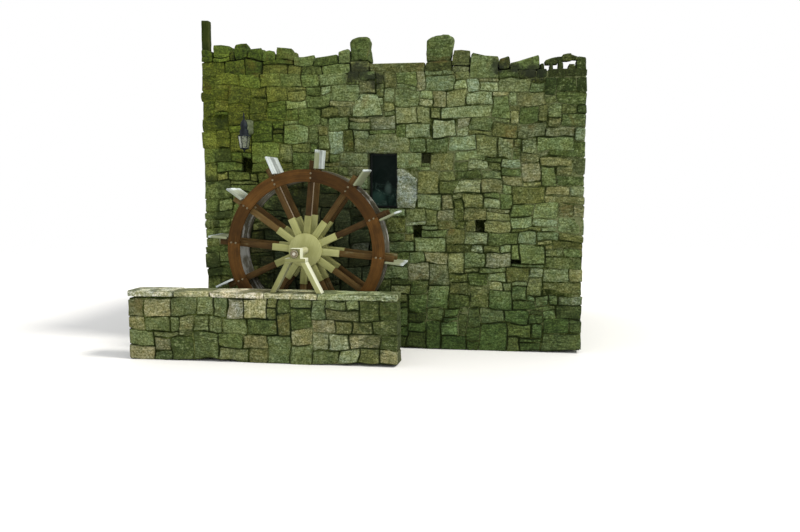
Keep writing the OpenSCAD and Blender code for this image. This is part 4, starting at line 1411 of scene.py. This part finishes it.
# The left-hand panes are paler: a painted reflection of the sky
painted_sky_reflection = seeded.between(seeded.along("X"), glass_middle.x - 0.038, glass_middle.x - 0.052)
dull = seeded.ramp(bubbles, (0.35, (0.10, 0.12, 0.07)), (0.65, (0.26, 0.29, 0.20)))
glass_colour = seeded.mix(painted_sky_reflection, dull, (0.46, 0.50, 0.42))
refinished("lantern_glass", seeded.dress(glass_colour, 0.18, bubbles, depth=0.002, gloss=0.6,
                                         alpha=0.72))

bar_side = 0.009
corners = [v.co - glass_middle for v in frame["nodes"]["lantern_glass"].data.vertices]
top_r, top_corner = max((c.xy.length, tuple(c)) for c in corners if c.z > 0)
foot_r = max(c.xy.length for c in corners if c.z < 0)
bar_out = Vector(((top_r + foot_r) / 2, 0, 0))
slope = math.atan2(top_r - foot_r, glass_high.z - glass_low.z)
bars = []
for k in range(6):
    turn = math.atan2(top_corner[1], top_corner[0]) + k * math.pi / 3
    bar = bevelled(added(
        bpy.ops.mesh.primitive_cube_add, size=1, rotation=(0, slope, turn),
        location=glass_middle + Matrix.Rotation(turn, 3, "Z") @ bar_out,
        scale=(bar_side, bar_side, (glass_high.z - glass_low.z) * 1.02)), 0.0015)
    bar.data.materials.append(lantern_black)
    bars.append(bar)
piece(merged(bars), "lantern_bars", None, "root", "lantern_metal")

# The trestle on the pier and everything at the middle of the wheel are painted cream. The paint
# has weathered to khaki. On the trestle, faces turned to the sun are paler: painted sunlight.
painted_sun_from = Vector((0.80, -0.10, 0.60))
cream = wood_finish("cream_paint", (0.215, 0.215, 0.075), (0.315, 0.322, 0.118),
                    (0.405, 0.412, 0.180), (0.20, 0.18, 0.09), worn=0.72, roughness=0.5, gloss=0.2,
                    split=0.35)
painted_sun_cream = wood_finish("painted_sunlight_cream_paint", (0.190, 0.190, 0.070), (0.270, 0.280, 0.105),
                          (0.350, 0.360, 0.160), (0.20, 0.18, 0.09), worn=0.72, roughness=0.5,
                          gloss=0.2, split=0.35, painted_sunlight=(0.63, 0.65, 0.50))
for name, node, edge, seed in (("left_strut", "trestle_left_leg", 0.004, 4),
                               ("right_strut", "trestle_right_leg", 0.004, 5),
                               ("crosspiece", "trestle_crosspiece", 0.004, 6),
                               ("bearing_block", "front_bearing", 0.003, 7)):
    made = dressed(name, node, painted_sun_cream, "cream_wood", seed, edge)
    # Painted sunlight: faces turned to the sun are paler
    written(made, "painted_sun", [max(0.0, f.normal.dot(painted_sun_from)) for f in made.data.polygons], "FACE")


# Cast iron bearing, bolted to the wall behind the wheel
def disc(sides, radius, thick, place, edge, segments=1):
    """A short round bar that lies along y, with its arrises taken off."""
    return bevelled(added(bpy.ops.mesh.primitive_cylinder_add, vertices=sides, radius=radius,
                          depth=thick, location=place, rotation=(math.pi / 2, 0, 0)),
                    edge, segments)


cast = Finish("cast_iron")
rusty = cast.between(cast.noise(9, detail=5, roughness=0.65), 0.52, 0.66)
iron = cast.dress(cast.mix(rusty, (0.030, 0.030, 0.030), (0.110, 0.045, 0.018)), 0.6,
                  cast.noise(120, detail=3), depth=0.0015, metal=0.6)
nuts_out = 0.12
nut_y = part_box("wall_bearing")[1].y - 0.031
casting = [painted(bevelled(loose_copy("wall_bearing"), 0.003, degrees=40), iron)]
for k in range(4):
    turn = math.radians(45 + 90 * k)
    at = Vector((wheel_middle.x + nuts_out * math.cos(turn), nut_y,
                 wheel_middle.z + nuts_out * math.sin(turn)))
    casting.append(disc(6, 0.014, 0.018, at, 0.0015, 2))
    casting[-1].data.materials.append(iron)
piece(merged(casting), "wall_bearing_casting", "wall_bearing", "root", "iron")

# The wheel's rims: twelve felloes each, sawn to the curve and butted together over the spokes.
# The front rim is painted red-brown. The back rim has lost its paint and gone grey.
rim_low, rim_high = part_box("front_rim")
rim_r = (rim_high.x - rim_low.x) / 2
rim_in_r = rim_r - 0.17
spokes = 12
spoke_turn = math.radians(-5.2)
felloe_gap = 0.0022
felloe_steps = 6
red_brown = wood_finish("red_brown_paint", (0.034, 0.016, 0.004), (0.064, 0.030, 0.007),
                        (0.135, 0.062, 0.014), (0.12, 0.095, 0.040), worn=0.69, roughness=0.55,
                        gloss=0.08, split=0.3)
old_paint = wood_finish("old_rim_paint", (0.032, 0.027, 0.014), (0.080, 0.073, 0.046),
                        (0.190, 0.182, 0.140), (0.34, 0.34, 0.31), worn=0.58, roughness=0.8,
                        split=1.2)


def turned(model, k):
    """A copy of a wheel part, turned about the axle by a number of spokes."""
    made = model.copy()
    made.data = model.data.copy()
    bpy.context.scene.collection.objects.link(made)
    turn = Matrix.Rotation(-(spoke_turn + k * 2 * math.pi / spokes), 4, "Y")
    made.data.transform(Matrix.Translation(wheel_middle) @ turn @ Matrix.Translation(-wheel_middle))
    return made


def all_round(model):
    """Twelve turned copies of a wheel part in its place."""
    copies = [turned(model, k) for k in range(spokes)]
    bpy.data.objects.remove(model)
    return copies


def spun(in_r, out_r, y, wide, steps, sweep, edge):
    """A square bar bent round the axle."""
    made = added(bpy.ops.mesh.primitive_plane_add, size=1)
    place = Matrix.Translation((wheel_middle.x + (in_r + out_r) / 2, y, wheel_middle.z))
    made.data.transform(place @ Matrix.Diagonal((out_r - in_r, wide, 1, 1)))
    with editing(made):
        bpy.ops.mesh.spin(steps=steps, angle=sweep, center=wheel_middle, axis=(0, 1, 0))
        bpy.ops.mesh.select_all(action="SELECT")
        bpy.ops.mesh.remove_doubles(threshold=0.0001)
        bpy.ops.mesh.normals_make_consistent(inside=False)
    return bevelled(made, edge, degrees=50)


for name, node, finish, slot, seed in (
        ("front_felloes", "front_rim", red_brown, "brown_wood", 8),
        ("back_felloes", "back_rim", old_paint, "grey_rim_wood", 9)):
    low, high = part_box(node)
    felloe = spun(rim_in_r, rim_r, (low.y + high.y) / 2, rim_high.y - rim_low.y, felloe_steps,
                  2 * math.pi / spokes - felloe_gap / rim_r, 0.005)
    made = mark_grain(merged(all_round(felloe)), seed, polar=wheel_middle)
    piece(painted(made, finish, 30), name, node, "wheel", slot)

# Spokes of planed softwood, painted a darker brown, run from their sockets out past the rim. Two
# carry a painted highlight along one side, where the sun would fall.
spoke_paint = wood_finish("spoke_paint", (0.036, 0.020, 0.007), (0.078, 0.045, 0.014),
                          (0.140, 0.092, 0.032), (0.17, 0.16, 0.085), worn=0.66, gloss=0.08,
                          split=0.5, painted_sunlight=(0.36, 0.29, 0.21))


def on_sunlit_side(face):
    """Whether a face is on the right-hand side of one of the two arms that point up."""
    out = face.center - wheel_middle
    reach = math.hypot(out.x, out.z)
    rightward = (face.normal.x * out.z - face.normal.z * out.x) / reach
    return rightward > 0.6 and out.z > 0 and -0.52 < out.x / reach < 0.24


arms = dressed("front_arms", "front_spokes", spoke_paint, "brown_wood", 10, 0.005, "wheel")
# Painted highlight on the sunward side of the two arms that point up
written(arms, "painted_sun", [0.8 * on_sunlit_side(face) for face in arms.data.polygons], "FACE")
dressed("back_arms", "back_spokes", spoke_paint, "brown_wood", 11, 0.005, "wheel")

# Each arm sits in a cream wooden socket, held between the two round plates of a hub. The axle is
# a turned timber shaft, its cream paler than the rest: painted sunlight. Its front end has an iron
# hoop shrunk on it, and a zinc-plated cover with a steel pin in the middle.
sunlit_axle_paint = wood_finish("sunlit_axle_paint", (0.30, 0.30, 0.15), (0.44, 0.44, 0.26), (0.58, 0.58, 0.40),
                         (0.25, 0.22, 0.12), worn=0.74, roughness=0.32, gloss=0.6, split=0.2)
for name, node, finish, seed in (("front_arm_sockets", "front_sockets", cream, 12),
                                 ("back_arm_sockets", "back_sockets", cream, 13),
                                 ("front_hub_plates", "front_hub", cream, 14),
                                 ("back_hub_plates", "back_hub", cream, 15),
                                 ("axle_shaft", "axle", sunlit_axle_paint, 16)):
    dressed(name, node, finish, "cream_wood", seed, body="wheel")

hoop_w = 0.028
hoop_t = 0.006
axle_low, axle_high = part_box("axle")
axle_r = (axle_high.x - axle_low.x) / 2
axle_end = (wheel_middle.x, axle_low.y, wheel_middle.z)
zinc = mottled("yellow_zinc", 40, ((0.35, (0.11, 0.088, 0.045)), (0.70, (0.30, 0.255, 0.155))),
               0.45, 0.0008, metal=0.35)
steel = mottled("bright_steel", 30, ((0.35, (0.42, 0.40, 0.32)), (0.70, (0.62, 0.60, 0.50))),
                0.32, 0.0008, uneven=0.3, metal=0.85)
hoop = spun(axle_r - 0.001, axle_r - 0.001 + hoop_t, axle_low.y + hoop_w / 2 + 0.004, hoop_w, 48,
            2 * math.pi, 0.0015)
cover = disc(32, axle_r - 0.003, 0.010, axle_end, 0.002)
pin = disc(24, 0.022, 0.02, axle_end, 0.004, 3)
fittings = [painted(hoop, iron), painted(cover, zinc), painted(pin, steel)]
piece(merged(fittings), "axle_hoop_and_pin", None, "wheel", "iron")

# Two coach bolts with washers hold each joint of a rim to its arm, with the nuts behind the arm
bolt_radii = (1.004, 1.068)
washer = (12, 0.0145, 0, 0.003)
bolt_head = (8, 0.0095, 0.003, 0.009)
sunk = 0.0005
for name, rim, arms, outward in (("front_rim_bolts", "front_rim", "front_spokes", -1),
                                 ("back_rim_bolts", "back_rim", "back_spokes", 1)):
    rim_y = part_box(rim)[0 if outward < 0 else 1].y
    arm_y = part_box(arms)[1 if outward < 0 else 0].y
    copies = []
    for face_y, way in ((rim_y, outward), (arm_y, -outward)):
        for radius in bolt_radii:
            bolt = [disc(sides, r, thick, (wheel_middle.x + radius,
                                           face_y + way * (start + thick / 2 - sunk),
                                           wheel_middle.z), thick * 0.35)
                    for sides, r, start, thick in (washer, bolt_head)]
            copies += all_round(merged(bolt))
    piece(painted(merged(copies), zinc), name, None, "wheel", "iron")

# The floats: three sawn boards side by side, nailed to the arms' ends and bleached silver. How
# much painted shade, in a mossy green, the three boards of an arm carry is told by the arm's
# number.
float_low, float_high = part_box("float_boards")
float_r = 1.4
float_in_r = rim_r + 0.018
float_t = 0.026
arm_w = 0.084
boards = 3
board_step = (float_high.y - float_low.y) / boards
board_gap = 0.004
unshaded_tip = 0.02
silver = wood_finish("silver_boards", (0.17, 0.19, 0.18), (0.50, 0.56, 0.55), (0.76, 0.82, 0.84),
                     (0.20, 0.19, 0.13), worn=0.70, roughness=0.8, split=1.6, coarse=0.6,
                     moss_and_shade=(0.24, 0.265, 0.16))
moss_and_shade_boards = {0: (0.8, 0.9, 0.8), 1: (1.0, 1.2, 1.1), 2: (1.6, 1.4, 1.6), 3: (0.9, 0, 0),
                5: (0.5, 0.6, 0.5), 6: (0.9, 1.1, 0.9), 8: (0, 0, 0.6)}
draw = random.Random(17)
floats = []
for k in range(spokes):
    for n in range(boards):
        length = float_r - float_in_r - draw.uniform(0, 0.010)
        board = added(bpy.ops.mesh.primitive_cube_add, size=1,
                      scale=(length, board_step - board_gap, float_t), location=(
                          wheel_middle.x + float_in_r + length / 2,
                          float_low.y + (n + 0.5) * board_step,
                          wheel_middle.z - arm_w / 2 - float_t / 2))
        with editing(board):
            bpy.ops.mesh.subdivide(number_cuts=3)
        for vertex in board.data.vertices:
            place = Vector((vertex.co.x * 5 + k * 3.1, vertex.co.y * 12 + n * 1.7, 0))
            vertex.co.z += noise.noise_vector(place).z * 0.004
        bevelled(board, 0.003, segments=1, degrees=40)
        tip = wheel_middle.x + float_r - unshaded_tip
        # The moss mark carries painted shade in a mossy green, kept off the boards' tips
        moss = moss_and_shade_boards.get(k, (0, 0, 0))[n]
        written(board, "moss", [moss * (vertex.co.x < tip) for vertex in board.data.vertices])
        floats.append(turned(board, k))
        bpy.data.objects.remove(board)
made = painted(mark_grain(merged(floats), 18), silver, 30)
piece(made, "silver_floats", "float_boards", "wheel", "silver_wood")
